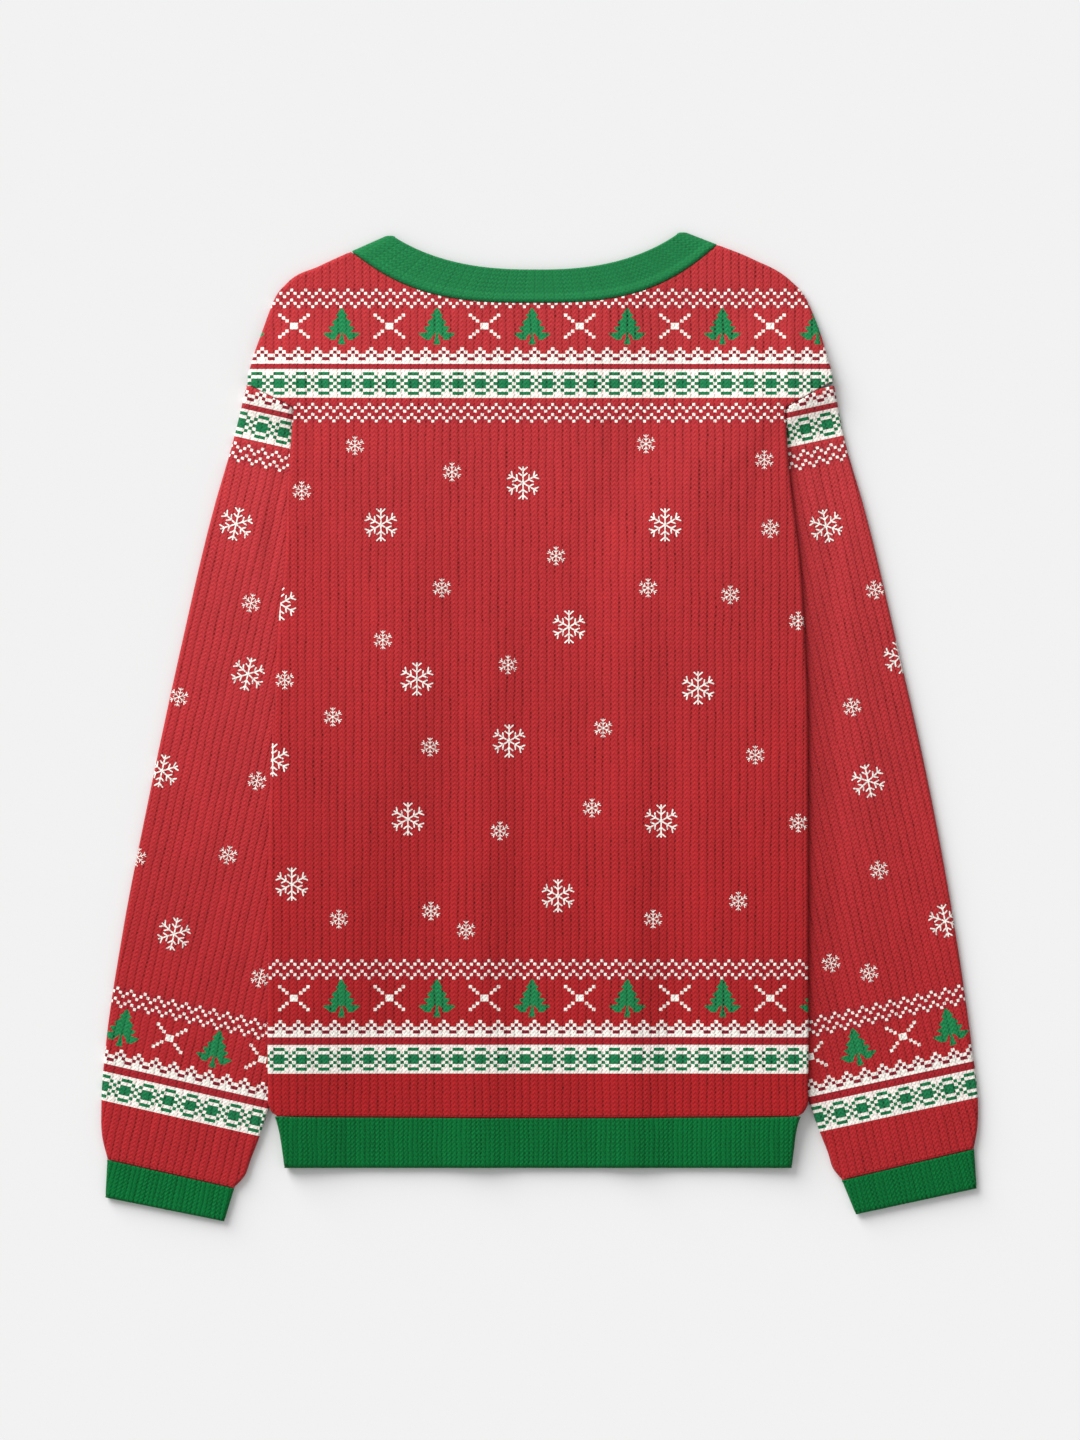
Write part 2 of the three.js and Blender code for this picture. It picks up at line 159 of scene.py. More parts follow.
SLEEVE_CREASES = [
    (-202, 196, -214, 120, 6, 0.8), (-196, 178, -203, 96, 5, -0.6), (-226, 168, -238, 40, 9, 0.5),
    (-240, -20, -262, -150, 12, 0.5), (-216, -150, -236, -262, 9, -0.5), (-262, -262, -268, -322, 7, 0.6),
    (-298, -262, -300, -318, 6, 0.5), (-232, -282, -240, -330, 5, 0.5),
    (202, 196, 214, 120, 6, 0.8), (197, 178, 205, 96, 5, -0.6), (226, 168, 238, 40, 9, 0.5),
    (240, -20, 262, -150, 12, 0.5), (218, -150, 238, -262, 9, -0.5), (262, -256, 268, -316, 7, 0.6),
    (298, -252, 301, -308, 6, 0.5), (232, -276, 241, -326, 5, 0.5), (212, 210, 226, -215, 9, -1.3),
    (234, 150, 246, -160, 12, 0.7),
]


# %% Distances on the flat cloth
def segment_distance(x, y, ax, ay, bx, by):
    """Distance to a line from a to b, and how far along it the nearest point lies."""
    dx, dy = bx - ax, by - ay
    share = np.clip(((x - ax) * dx + (y - ay) * dy) / (dx * dx + dy * dy), 0, 1)
    return np.hypot(x - ax - share * dx, y - ay - share * dy), share


def hidden_strip(side):
    """Where one sleeve lies under the body."""
    outside = -260 if side == "left" else 260
    return np.vstack([points_of(SLEEVE_INNER, side)[4:], CORNER[side], (outside, 150), (outside, -283)])


def outline_distance(x, y, outline):
    nearest = np.full(np.shape(x), np.inf)
    inside = np.zeros(np.shape(x), bool)
    for (ax, ay), (bx, by) in zip(outline, np.roll(outline, -1, axis=0)):
        nearest = np.minimum(nearest, segment_distance(x, y, ax, ay, bx, by)[0])
        if ay != by:
            crosses = ((ay > y) != (by > y)) & (x < ax + (y - ay) * (bx - ax) / (by - ay))
            inside ^= crosses
    return np.where(inside, 0, nearest)


def underside(x, y, fall=LIFT_FALL):
    """The lower layer follows the sleeves closely; the upper layer bridges over them with a longer fall."""
    away = np.minimum(*(outline_distance(x, y, hidden_strip(side)) for side in ("left", "right")))
    return LIFT * (1 - smoothstep((away - LIFT_MARGIN) / fall))


# %% Folds, creases and ribs
def fold(x, y):
    height = np.zeros(np.shape(x))
    for hem_x, top_x, half, bottom, top, tall in FOLDS:
        share = (y - bottom) / (top - bottom)
        fade = min(FOLD_FADE, (top - bottom) / 2)
        reach = smoothstep((y - bottom) / fade) * smoothstep((top - y) / fade)
        off = np.abs(x - hem_x - (top_x - hem_x) * np.clip(share, 0, 1)) / half
        height += tall * reach * (1 - smoothstep(off))
    return height


def creases(x, y, table):
    height = np.zeros(np.shape(x))
    for ax, ay, bx, by, half, tall in table:
        away, share = segment_distance(x, y, ax, ay, bx, by)
        height += tall * np.exp(-((away / half) ** 2)) * np.sin(np.pi * np.clip(share, 0.06, 0.94)) ** 0.5
    return height


def unevenness(x, y):
    """Hand-laid cloth is never level: a few long, slow waves."""
    return 0.16 * np.sin(x / 19 + 1.3 * np.sin(y / 67)) + 0.14 * np.sin(y / 31 + 1.7 * np.sin(x / 53) + 2)


def ribs(across, along_it, pitch, depth):
    """Rounded crests with grooves between them that deepen and fade along each rib."""
    phase = np.abs((across / pitch) % 1 - 0.5) * 2
    groove = np.floor(across / pitch + 0.5)
    uneven = 0.62 + 0.38 * np.sin(groove * 2.4 + along_it / 47 + 1.2 * np.sin(along_it / 21 + groove))
    return -depth * uneven * smoothstep((phase - 0.2) / 0.8)


print("highest fold:", fold(np.array([66.0]), np.array([-150.0])).round(2), "mm")

# %% [markdown]
# ## Making cloth from patches
# A shell is gathered from patches: grids of points, and strips that join two rows of different counts.
# Each patch carries its chart, the place of every point on the flat cloth, so that the pattern follows
# the cloth round an edge. At the end the points that meet are merged, and faces that have shrunk to
# nothing go.


# %% Shells
class Shell:
    def __init__(self):
        self.points = []
        self.charts = []
        self.quads = []
        self.count = 0

    def _add(self, points, chart):
        first = self.count
        self.points.append(np.asarray(points, float).reshape(-1, 3))
        self.charts.append(np.asarray(chart, float).reshape(-1, 2))
        self.count += len(self.points[-1])
        return first

    def grid(self, points, chart, turned=False):
        """Rows run up, columns to the right, and the face looks up unless it is turned."""
        rows, columns = points.shape[:2]
        index = self._add(points, chart) + np.arange(rows * columns).reshape(rows, columns)
        quads = np.stack([index[:-1, :-1], index[:-1, 1:], index[1:, 1:], index[1:, :-1]], -1).reshape(-1, 4)
        self.quads.append(quads[:, ::-1] if turned else quads)

    def strip(self, low, high, low_chart, high_chart, turned=False):
        """Joins two rows whose counts may differ, by how far along each point lies."""
        a = self._add(low, low_chart) + np.arange(len(low))
        b = self._add(high, high_chart) + np.arange(len(high))
        at_a, at_b = (np.linspace(0, 1, len(row)) if len(row) < 2 else along(row) for row in (low, high))
        i = j = 0
        faces = []
        while i < len(a) - 1 or j < len(b) - 1:
            if j == len(b) - 1 or (i < len(a) - 1 and at_a[i + 1] <= at_b[j + 1]):
                faces.append((a[i], a[i + 1], b[j], b[j]))
                i += 1
            else:
                faces.append((a[i], b[j + 1], b[j], b[j]))
                j += 1
        faces = np.array(faces)
        self.quads.append(faces[:, ::-1] if turned else faces)

    def build(self, name, flakes=()):
        """The merged mesh as an object, with its chart and snowflake maps. Lengths become metres here."""
        points = np.vstack(self.points)
        chart = np.vstack(self.charts)
        quads = np.vstack(self.quads)
        keys = np.round(points / 0.004).astype(np.int64)
        _, first, weld = np.unique(keys, axis=0, return_index=True, return_inverse=True)
        welded = weld.reshape(-1)[quads]
        same = welded == np.roll(welded, -1, axis=1)
        keep = np.ones(len(quads), bool)
        keep &= same.sum(1) <= 1
        keep &= (welded[:, 0] != welded[:, 2]) & (welded[:, 1] != welded[:, 3])
        whole = keep & ~same.any(1)
        part = keep & same.any(1)
        corners = [welded[whole]]
        charts = [chart[quads[whole]]]
        drop = same[part].argmax(1)
        left = np.array([[(k + 1) % 4, (k + 2) % 4, (k + 3) % 4] for k in drop]).reshape(-1, 3)
        threes = np.take_along_axis(welded[part], left, 1)
        three_charts = chart[np.take_along_axis(quads[part], left, 1)]
        place = points[first].copy()
        place[:, :2] += SHIFT
        mesh = bpy.data.meshes.new(name)
        faces = corners[0].tolist() + threes.tolist()
        mesh.from_pydata((place * MM).tolist(), [], faces)
        flat_chart = np.vstack([charts[0].reshape(-1, 2), three_charts.reshape(-1, 2)])
        mesh.uv_layers.new(name="chart").data.foreach_set("uv", (flat_chart * MM).astype(np.float32).ravel())
        flake_map = np.vstack([
            flake_places(charts[0], flakes).reshape(-1, 2),
            flake_places(three_charts, flakes).reshape(-1, 2),
        ])
        mesh.uv_layers.new(name="flake").data.foreach_set("uv", flake_map.astype(np.float32).ravel())
        mesh.polygons.foreach_set("use_smooth", np.ones(len(faces), bool))
        mesh.update()
        thing = bpy.data.objects.new(name, mesh)
        bpy.context.scene.collection.objects.link(thing)
        edges = np.array([key for key in mesh.edge_keys])
        loops = np.zeros(len(mesh.loops), np.int32)
        mesh.loops.foreach_get("edge_index", loops)
        open_edges = int((np.bincount(loops, minlength=len(edges)) != 2).sum())
        print(f"{name}: {len(faces)} faces, {open_edges} open edges")
        return thing


# %% Places along a row and in a snowflake
def along(row):
    steps = np.r_[0, np.cumsum(np.linalg.norm(np.diff(row, axis=0), axis=1))]
    return steps / steps[-1]


def flake_places(charts, flakes):
    """For faces near a snowflake, each corner's place in that flake's own frame; far away for the rest."""
    places = np.full(charts.shape, 9.0)
    middle = charts.mean(1)
    for x, y, radius in flakes:
        near = np.abs(middle - (x, y)).max(1) < radius * 1.3 + 2.5
        places[near] = (charts[near] - (x, y)) / radius
    return places


# %% [markdown]
# ## Body panels
# The back and the front are cut to the outline. A grid of columns and rows is laid over each, with four
# columns for each rib, and whatever lies outside the outline is drawn in to it. So the ribs stay upright
# and are cut by the edge, as in a real panel. The edges roll over: far at the sides and shoulders, where
# back and front are joined, and a little at the seams with the bands.


# %% Panels
def hem_line(x):
    """The hem seam sags slightly between the sides."""
    return -291.5 - 1.4 * (1 - (np.asarray(x, float) / 200) ** 2)


def neckline(name, x):
    left, right, low, left_end, right_end, power = NECKLINES[name]
    out = np.clip((x - left) / (right - left) * 2 - 1, -1, 1)
    end = np.where(out < 0, left_end, right_end)
    return low + (end - low) * np.abs(out) ** power


def cut(columns, rows, left, right, low, high):
    """A grid drawn in between four curves: left and right of a row, low and high of a column."""
    y = np.repeat(rows[:, None], len(columns), 1)
    x = np.clip(np.repeat(columns[None, :], len(rows), 0), left(rows)[:, None], right(rows)[:, None])
    return np.stack([x, np.clip(y, low(x), high(x))], -1)


def steepness(curve, at):
    """How much longer a step along the curve is than its share along the axis."""
    return np.minimum(np.hypot(1, curve(at + 0.5) - curve(at - 0.5)), 2.5)


def panel_side(y, side):
    column = 1 if side == "left" else 2
    body = smooth_through(y, [row[0] for row in BODY_EDGE], [row[column] for row in BODY_EDGE])
    corner, outer = CORNER[side], points_of(SHOULDER, side)[0]
    share = np.clip((y - corner[1]) / (outer[1] - corner[1]), 0, 1)
    return np.where(y < corner[1], body, corner[0] + share * (outer[0] - corner[0]))


def panel_top(x, neck):
    left, right = points_of(SHOULDER, "left"), points_of(SHOULDER, "right")[::-1]
    at_left = smooth_through(x, left[:, 0], left[:, 1])
    at_right = smooth_through(x, right[:, 0], right[:, 1])
    shoulder = np.where(x < 0, at_left, at_right)
    return np.where((x > left[-1, 0]) & (x < right[0, 0]), neckline(neck, x) - GAP, shoulder)


def edge_roll(x, y):
    """How far the edge rolls: by the whole wall at sides and shoulders, slightly at seams."""
    at_side = (y < CORNER["left"][1] - 2) & (np.abs(x) > 180) & (y > -288)
    at_shoulder = (y > points_of(SHOULDER, "left")[0][1] + 3) & ((x < -136) | (x > 129))
    return np.where(at_side | at_shoulder, WALL, SEAM_ROLL)


def panel_cut(columns, rows, neck, inset, further=0.0):
    """The panel's grid, set in by its edge's roll."""

    def side_inset(y, side):
        roll = np.where(y < CORNER[side][1] - 2, WALL, SEAM_ROLL)
        seam = (y >= CORNER[side][1]) * GAP
        return (inset * roll + further) * steepness(lambda at: panel_side(at, side), y) + seam

    def high(x):
        top = panel_top(x, neck)
        return top - (inset * edge_roll(x, top) + further) * steepness(lambda at: panel_top(at, neck), x)

    return cut(
        columns, rows,
        left=lambda y: panel_side(y, "left") + side_inset(y, "left"),
        right=lambda y: panel_side(y, "right") - side_inset(y, "right"),
        low=lambda x: hem_line(x) + inset * SEAM_ROLL + further,
        high=high,
    )


# %% [markdown]
# A panel is closed in four steps: the outer face, the roll round its edge, a step down to the inner face,
# and the lining, which is coarser because nobody sees it.


# %% Closing a panel
def sides_of(grid):
    """The four edges of a grid, clockwise from its lower left corner."""
    return [grid[:, 0], grid[-1], grid[::-1, -1], grid[0, ::-1]]


def without_repeats(line):
    keep = np.r_[True, np.linalg.norm(np.diff(line, axis=0), axis=1) > 0.004]
    return line[keep]


def outward(loop):
    """The direction out of a clockwise loop at each of its points."""
    ahead = np.roll(loop, -1, axis=0) - loop
    ahead /= np.maximum(np.linalg.norm(ahead, axis=1, keepdims=True), 1e-9)
    mean = ahead + np.roll(ahead, 1, axis=0)
    mean /= np.maximum(np.linalg.norm(mean, axis=1, keepdims=True), 1e-9)
    return np.stack([-mean[:, 1], mean[:, 0]], -1)


ROLL_TURNS = np.radians([0, 30, 60, 90])


def panel(name, neck, columns, rows, outer_height, inner_height, flakes, up):
    """up is 1 where the outer face looks up, and -1 where it looks down."""
    shell = Shell()
    grid = panel_cut(columns, rows, neck, 1)
    height = outer_height(grid[..., 0], grid[..., 1])
    shell.grid(np.dstack([grid, height]), grid, turned=up < 0)
    sides = [without_repeats(side) for side in sides_of(grid)]
    loop = np.vstack([side[:-1] for side in sides])
    ends = np.cumsum([0] + [len(side) - 1 for side in sides])
    direction = outward(loop)
    roll = edge_roll(loop[:, 0], loop[:, 1])[:, None]
    face = outer_height(loop[:, 0], loop[:, 1])[:, None]
    rings = []
    for turn in ROLL_TURNS:
        plan = loop + direction * roll * np.sin(turn)
        rings.append(np.hstack([plan, face - up * roll * (1 - np.cos(turn))]))
    plan = rings[-1][:, :2]
    rings.append(np.hstack([plan, inner_height(plan[:, 0], plan[:, 1])[:, None]]))
    rings = np.array(rings)
    rings = np.concatenate([rings, rings[:, :1]], 1)
    shell.grid(rings, rings[..., :2], turned=up < 0)
    coarse = panel_cut(LINING_COLUMNS, LINING_ROWS, neck, 0, further=2.0)
    lining = np.dstack([coarse, inner_height(coarse[..., 0], coarse[..., 1])])
    shell.grid(lining, coarse, turned=up > 0)
    for k, side in enumerate(sides_of(lining)):
        inner = without_repeats(side)
        outer = rings[-1][ends[k] : ends[k + 1] + 1]
        shell.strip(outer, inner, outer[:, :2], inner[:, :2], turned=up < 0)
    return shell.build(name, flakes)


# %% [markdown]
# The back gets a column of faces for every 1.5 mm, so that each rib is round. The front is hidden, so its
# grid is coarse. The snowflakes are scattered as they were printed, large and small.

# %% Back and front
SNOW_BACK = [  # x, y, radius of each snowflake on the back
    (-118.2, 150.6, 12.3), (-12, 182, 12.3), (94.2, 150.6, 12.3), (-91.3, 35.4, 12.3), (22.4, 74.3, 12.3),
    (118.9, 28.6, 12.3), (-22.4, -11, 12.3), (-98, -69.3, 12.3), (91.3, -70.8, 12.3), (-184.8, -118, 12.3),
    (14.2, -126.9, 12.3), (-193.7, 91.5, 12.3), (-199, -25.2, 12.3), (-137.6, 209.7, 6.9),
    (-65.1, 190.2, 6.9), (-177.3, 176, 6.9), (80, 211.2, 6.9), (168.3, 199.2, 6.9), (12.7, 127.4, 6.9),
    (172.8, 147.6, 6.9), (-72.6, 103.4, 6.9), (81.5, 103.4, 6.9), (142.9, 98.2, 6.9), (-116.7, 64.6, 6.9),
    (-190, 34.6, 6.9), (-23.2, 45.9, 6.9), (-154.1, 7, 6.9), (47.9, -1.3, 6.9), (-81.5, -15.5, 6.9),
    (161.6, -21.5, 6.9), (39.6, -61.1, 6.9), (-29.2, -78.3, 6.9), (193.7, 78.8, 6.9), (193.7, -72.3, 6.9),
    (-149.6, -144.1, 6.9), (-80.8, -138.2, 6.9), (-54.6, -152.4, 6.9), (85.3, -144.1, 6.9),
    (148.9, -130.7, 6.9),
]
FINE_COLUMNS = np.arange(-222, 224, RIB_PITCH / 4)
FINE_ROWS = np.arange(-294.5, 364, 2.3)
COARSE_COLUMNS = np.arange(-222, 224, 4.0)
COARSE_ROWS = np.arange(-295, 364, 4.0)
LINING_COLUMNS = np.r_[np.arange(-222, -120, 4.0), np.arange(-120, 120, 12.0), np.arange(120, 224, 4.0)]
LINING_ROWS = np.r_[np.arange(-295, 226, 16.0), np.arange(228, 366, 3.0)]


def back_outer(x, y):
    relief = ribs(x, y, RIB_PITCH, RIB_DEPTH) + unevenness(x, y) + creases(x, y, CREASES)
    return underside(x, y, BRIDGE_FALL) + PRESSED + fold(x, y) + relief


def back_inner(x, y):
    return underside(x, y, BRIDGE_FALL) + WALL + GAP + fold(x, y)


back = panel("back_cloth", "back_seam", FINE_COLUMNS, FINE_ROWS, back_outer, back_inner, SNOW_BACK, 1)
front = panel(
    "front_cloth", "front_seam", COARSE_COLUMNS, COARSE_ROWS,
    underside, lambda x, y: underside(x, y) + WALL, [(-x, y, r) for x, y, r in SNOW_BACK], -1,
)

# %% [markdown]
# ## Sleeves, cuffs and hem
# A sleeve is a tube that is pressed flat, so its edges are folds and not cuts. The pattern runs on round
# the outer fold to the underside, and the join is at the inner edge, as on a real underarm. The sleeves
# are made in their own turned frames, because their ribs run along the sleeve. The cuffs and the hem are
# tubes of the same kind with deeper ribs, and are open at their free ends.

# %% Pressed tubes
TURN = {"left": math.radians(12.9), "right": math.radians(-12.3), "hem": 0.0}
ROUND = PRESSED / 2
FOLD_TURNS = np.radians(np.linspace(0, 180, 9))


def to_own_frame(points, turn):
    x, y = np.asarray(points, float)[..., 0], np.asarray(points, float)[..., 1]
    return np.stack([x * math.cos(turn) - y * math.sin(turn), x * math.sin(turn) + y * math.cos(turn)], -1)


def tube(name, turn, edges, columns, rows, top_height, bottom_height, seam_side, lips, flakes=()):
    """edges are the left, right, low and high curves; lips are how far the low and high ends roll."""
    left, right, low, high = edges
    own = cut(
        columns, rows,
        left=lambda y: left(y) + ROUND * steepness(left, y),
        right=lambda y: right(y) - ROUND * steepness(right, y),
        low=lambda x: low(x) + lips[0] * steepness(low, x),
        high=lambda x: high(x) - lips[1] * steepness(high, x),
    )
    under = own[:, :: -1][:, ::6]
    under = np.concatenate([under, own[:, :1]], 1)
    plan, chart, level = [own], [own], [np.ones(own.shape[1])]
    for sign, edge in ((1, own[:, -1:]), (-1, own[:, :1])):
        turns = FOLD_TURNS[1:-1] if sign > 0 else FOLD_TURNS[1:-1][::-1]
        out = sign * np.sin(turns) * ROUND
        bend = edge + np.stack([out, 0 * out], -1)
        bend_chart = edge + np.stack([sign * turns * ROUND, 0 * out], -1)
        if sign > 0:
            plan += [bend, under]
            far = left(under[..., 1]) if seam_side == "right" else right(under[..., 1])
            around = 2 * far - under[..., 0] + (-1 if seam_side == "right" else 1) * (math.pi - 2) * ROUND
            chart += [bend_chart, np.stack([around, under[..., 1]], -1)]
            level += [np.cos(turns), -np.ones(under.shape[1])]
        else:
            plan += [bend, own[:, :1]]
            chart += [bend_chart, own[:, :1]]
            level += [np.cos(turns), np.ones(1)]
    own, chart, level = np.concatenate(plan, 1), np.concatenate(chart, 1), np.concatenate(level)
    place = to_own_frame(own, -turn)
    ceiling = top_height(place[..., 0], place[..., 1])
    floor = bottom_height(place[..., 0], place[..., 1])
    height = (ceiling + floor) / 2 + (ceiling - floor) / 2 * level
    shell = Shell()
    shell.grid(np.dstack([place, height]), chart)

    few = cut(
        columns[::6], np.r_[rows[:-1:6], rows[-1]],
        left=lambda y: left(y) + WALL * steepness(left, y),
        right=lambda y: right(y) - WALL * steepness(right, y),
        low=low, high=high,
    )
    inner_own = np.concatenate([few, few[:, ::-1], few[:, :1]], 1)
    inner_place = to_own_frame(inner_own, -turn)
    inner_floor = bottom_height(inner_place[..., 0], inner_place[..., 1]) + WALL
    wide = few.shape[1]
    lift = np.r_[np.full(wide, GAP), np.zeros(wide), GAP]
    lining = np.dstack([inner_place, inner_floor + lift])
    shell.grid(lining[::-1], inner_own[::-1])
    for end, sign, lip in ((0, -1, lips[0]), (-1, 1, lips[1])):
        along_end = to_own_frame(np.array([0.0, sign]), -turn)
        rings = []
        for angle in ROLL_TURNS:
            squeeze = 1 - lip * (1 - math.cos(angle)) / ROUND
            middle = (ceiling[end] + floor[end]) / 2
            ring = place[end] + along_end * lip * math.sin(angle)
            rings.append(np.column_stack([ring, middle + (height[end] - middle) * squeeze]))
        rings = np.array(rings)
        rim_chart = np.repeat(chart[None, end], len(rings), 0)
        rim, rim_flat, inner, inner_flat = rings[-1], chart[end], lining[end], inner_own[end]
        if sign < 0:
            rings, rim_chart = rings[::-1], rim_chart[::-1]
            shell.strip(inner, rim, inner_flat, rim_flat)
        else:
            shell.strip(rim, inner, rim_flat, inner_flat)
        shell.grid(rings, rim_chart)
    return shell.build(name, flakes)


# %% [markdown]
# The sleeves come up to the raised body at the armholes, where they are sewn to it.


# %% Sleeves, cuffs and hem
def edge_curve(table, side, turn):
    """An edge table as a curve across the own frame's height."""
    points = to_own_frame(points_of(table, side), turn)
    points = points[np.argsort(points[:, 1])]
    return lambda y: smooth_through(y, points[:, 1], points[:, 0])


def straight_curve(points, turn):
    points = to_own_frame(points, turn)
    points = points[np.argsort(points[:, 0])]
    return lambda x: np.interp(x, points[:, 0], points[:, 1])


SEAM_RISE_DEEP, SEAM_RISE_SIDE = 26.0, 4.0


def seam_rise(x, y):
    """At the armhole the sleeve is sewn to the raised body, so it comes up to meet it."""
    rise = np.zeros(np.shape(x))
    for side in ("left", "right"):
        corner, outer = CORNER[side], points_of(SHOULDER, side)[0]
        away = segment_distance(x, y, *corner, *outer)[0]
        clear = np.abs(x) - np.abs(panel_side(np.minimum(y, corner[1]), side))
        near = (x < 0) == (side == "left")
        rise += near * (1 - smoothstep(away / SEAM_RISE_DEEP)) * smoothstep((clear + 1.0) / SEAM_RISE_SIDE)
    return rise * underside(x, y, BRIDGE_FALL)


def sleeve_top(x, y):
    side = np.where(x < 0, 1, 0)
    left = to_own_frame(np.stack([x, y], -1), TURN["left"])[..., 0]
    right = to_own_frame(np.stack([x, y], -1), TURN["right"])[..., 0]
    relief = ribs(np.where(side == 1, left, right), y, RIB_PITCH, RIB_DEPTH)
    return PRESSED + relief + creases(x, y, SLEEVE_CREASES) + seam_rise(x, y)


SNOW_SLEEVES = {
    "left": [
        (-226.6, 151.3, 12.3), (-217.7, 39.1, 12.3), (-282, -33.4, 12.3), (-273, -155.4, 12.3),
        (-215.4, 92.2, 6.9), (-269.3, 21.9, 6.9), (-210.9, -40.9, 6.9), (-232.6, -96.3, 6.9),
        (-208.7, -188.3, 6.9), (-300.7, -97.8, 6.9),
    ],
    "right": [
        (214.7, 149.8, 12.3), (246.1, -40.9, 12.3), (270, 51.8, 12.3), (303.7, -145.6, 12.3),
        (251.3, 102, 6.9), (234.1, 14.4, 6.9), (254.3, -107.5, 6.9), (218.4, -177.1, 6.9),
        (246.8, -184.5, 6.9),
    ],
}


def level_zero(x, y):
    return np.zeros(np.shape(x))


def cuff_top(turn):
    def height(x, y):
        own = to_own_frame(np.stack([x, y], -1), turn)
        return PRESSED + ribs(own[..., 0], y, WELT_PITCH, WELT_DEPTH)

    return height


SLEEVE_SPAN = (132, 282)  # the sleeves' least and greatest distance from the middle, in their own frames
sleeves, cuffs = {}, {}
for side in ("left", "right"):
    turn = TURN[side]
    outer, inner = edge_curve(SLEEVE_OUTER, side, turn), edge_curve(SLEEVE_INNER, side, turn)
    head_line = [points_of(SLEEVE_OUTER, side)[-1], CORNER[side], points_of(SLEEVE_INNER, side)[-1]]
    cuff_line = [points_of(SLEEVE_OUTER, side)[0], points_of(SLEEVE_INNER, side)[0]]
    head, cuff_seam = straight_curve(head_line, turn), straight_curve(cuff_line, turn)
    sides = (outer, inner) if side == "left" else (inner, outer)
    flakes = [(*to_own_frame((x, y), turn), r) for x, y, r in SNOW_SLEEVES[side]]
    first = -SLEEVE_SPAN[1] if side == "left" else SLEEVE_SPAN[0]
    columns = first + np.arange(0, SLEEVE_SPAN[1] - SLEEVE_SPAN[0], RIB_PITCH / 4)
    sleeves[side] = tube(
        side + "_sleeve_cloth", turn, (*sides, cuff_seam, head), columns, np.arange(-389.5, 203, 2.4),
        sleeve_top, level_zero, "right" if side == "left" else "left", (SEAM_ROLL, SEAM_ROLL), flakes,
    )
    ends = points_of(CUFF_END, side)
    seam = np.array(cuff_line)
    cuff_outer = edge_curve([(*seam[0], *seam[0]), (*ends[0], *ends[0])], "left", turn)
    cuff_inner = edge_curve([(*seam[1], *seam[1]), (*ends[1], *ends[1])], "left", turn)
    cuff_sides = (cuff_outer, cuff_inner) if side == "left" else (cuff_inner, cuff_outer)
    end_line = straight_curve(ends, turn)
    cuffs[side] = tube(
        side + "_cuff_cloth", turn, (*cuff_sides, end_line, lambda x: cuff_seam(x) - GAP),
        columns, np.arange(-420, -376, 1.8),
        cuff_top(turn), level_zero, "right" if side == "left" else "left", (2.0, SEAM_ROLL),
    )

hem = tube(
    "hem_cloth", 0.0,
    (
        lambda y: smooth_through(y, [r[0] for r in HEM_EDGE], [r[1] for r in HEM_EDGE]),
        lambda y: smooth_through(y, [r[0] for r in HEM_EDGE], [r[2] for r in HEM_EDGE]),
        lambda x: np.full(np.shape(x), HEM_EDGE[0][0]), lambda x: hem_line(x) - GAP,
    ),
    np.arange(-198, 198, 1.8), np.r_[np.arange(-330.4, -291, 2.0), -291.0],
    lambda x, y: underside(x, y, BRIDGE_FALL) + PRESSED + fold(x, y) + ribs(x, y, WELT_PITCH, WELT_DEPTH),
    underside, "right", (2.0, SEAM_ROLL),
)

# %% [markdown]
# ## The collar
# The collar is a ring of rib that is pressed flat: its back half shows, and its front half lies below and
# hangs lower. A row of stitching a quarter of the way up holds down the seam inside, so the cloth below
# it stands up in a roll. Its folded tips are rounded.

# %% Collar
COLLAR_RIBS = 40
COLLAR_RIB_DEPTH = 0.05
COLLAR_ROLL = 1.1
COLLAR_ROLL_SHARE = 0.24
TIP_ROUND = 4.0
TIP_REACH = 1.8


def collar_width(out, seam, free):
    x0, x1 = (np.interp(out, [-1, 1], NECKLINES[name][:2]) for name in (seam, free))
    return np.stack([x0, neckline(seam, x0)], -1), np.stack([x1, neckline(free, x1)], -1)


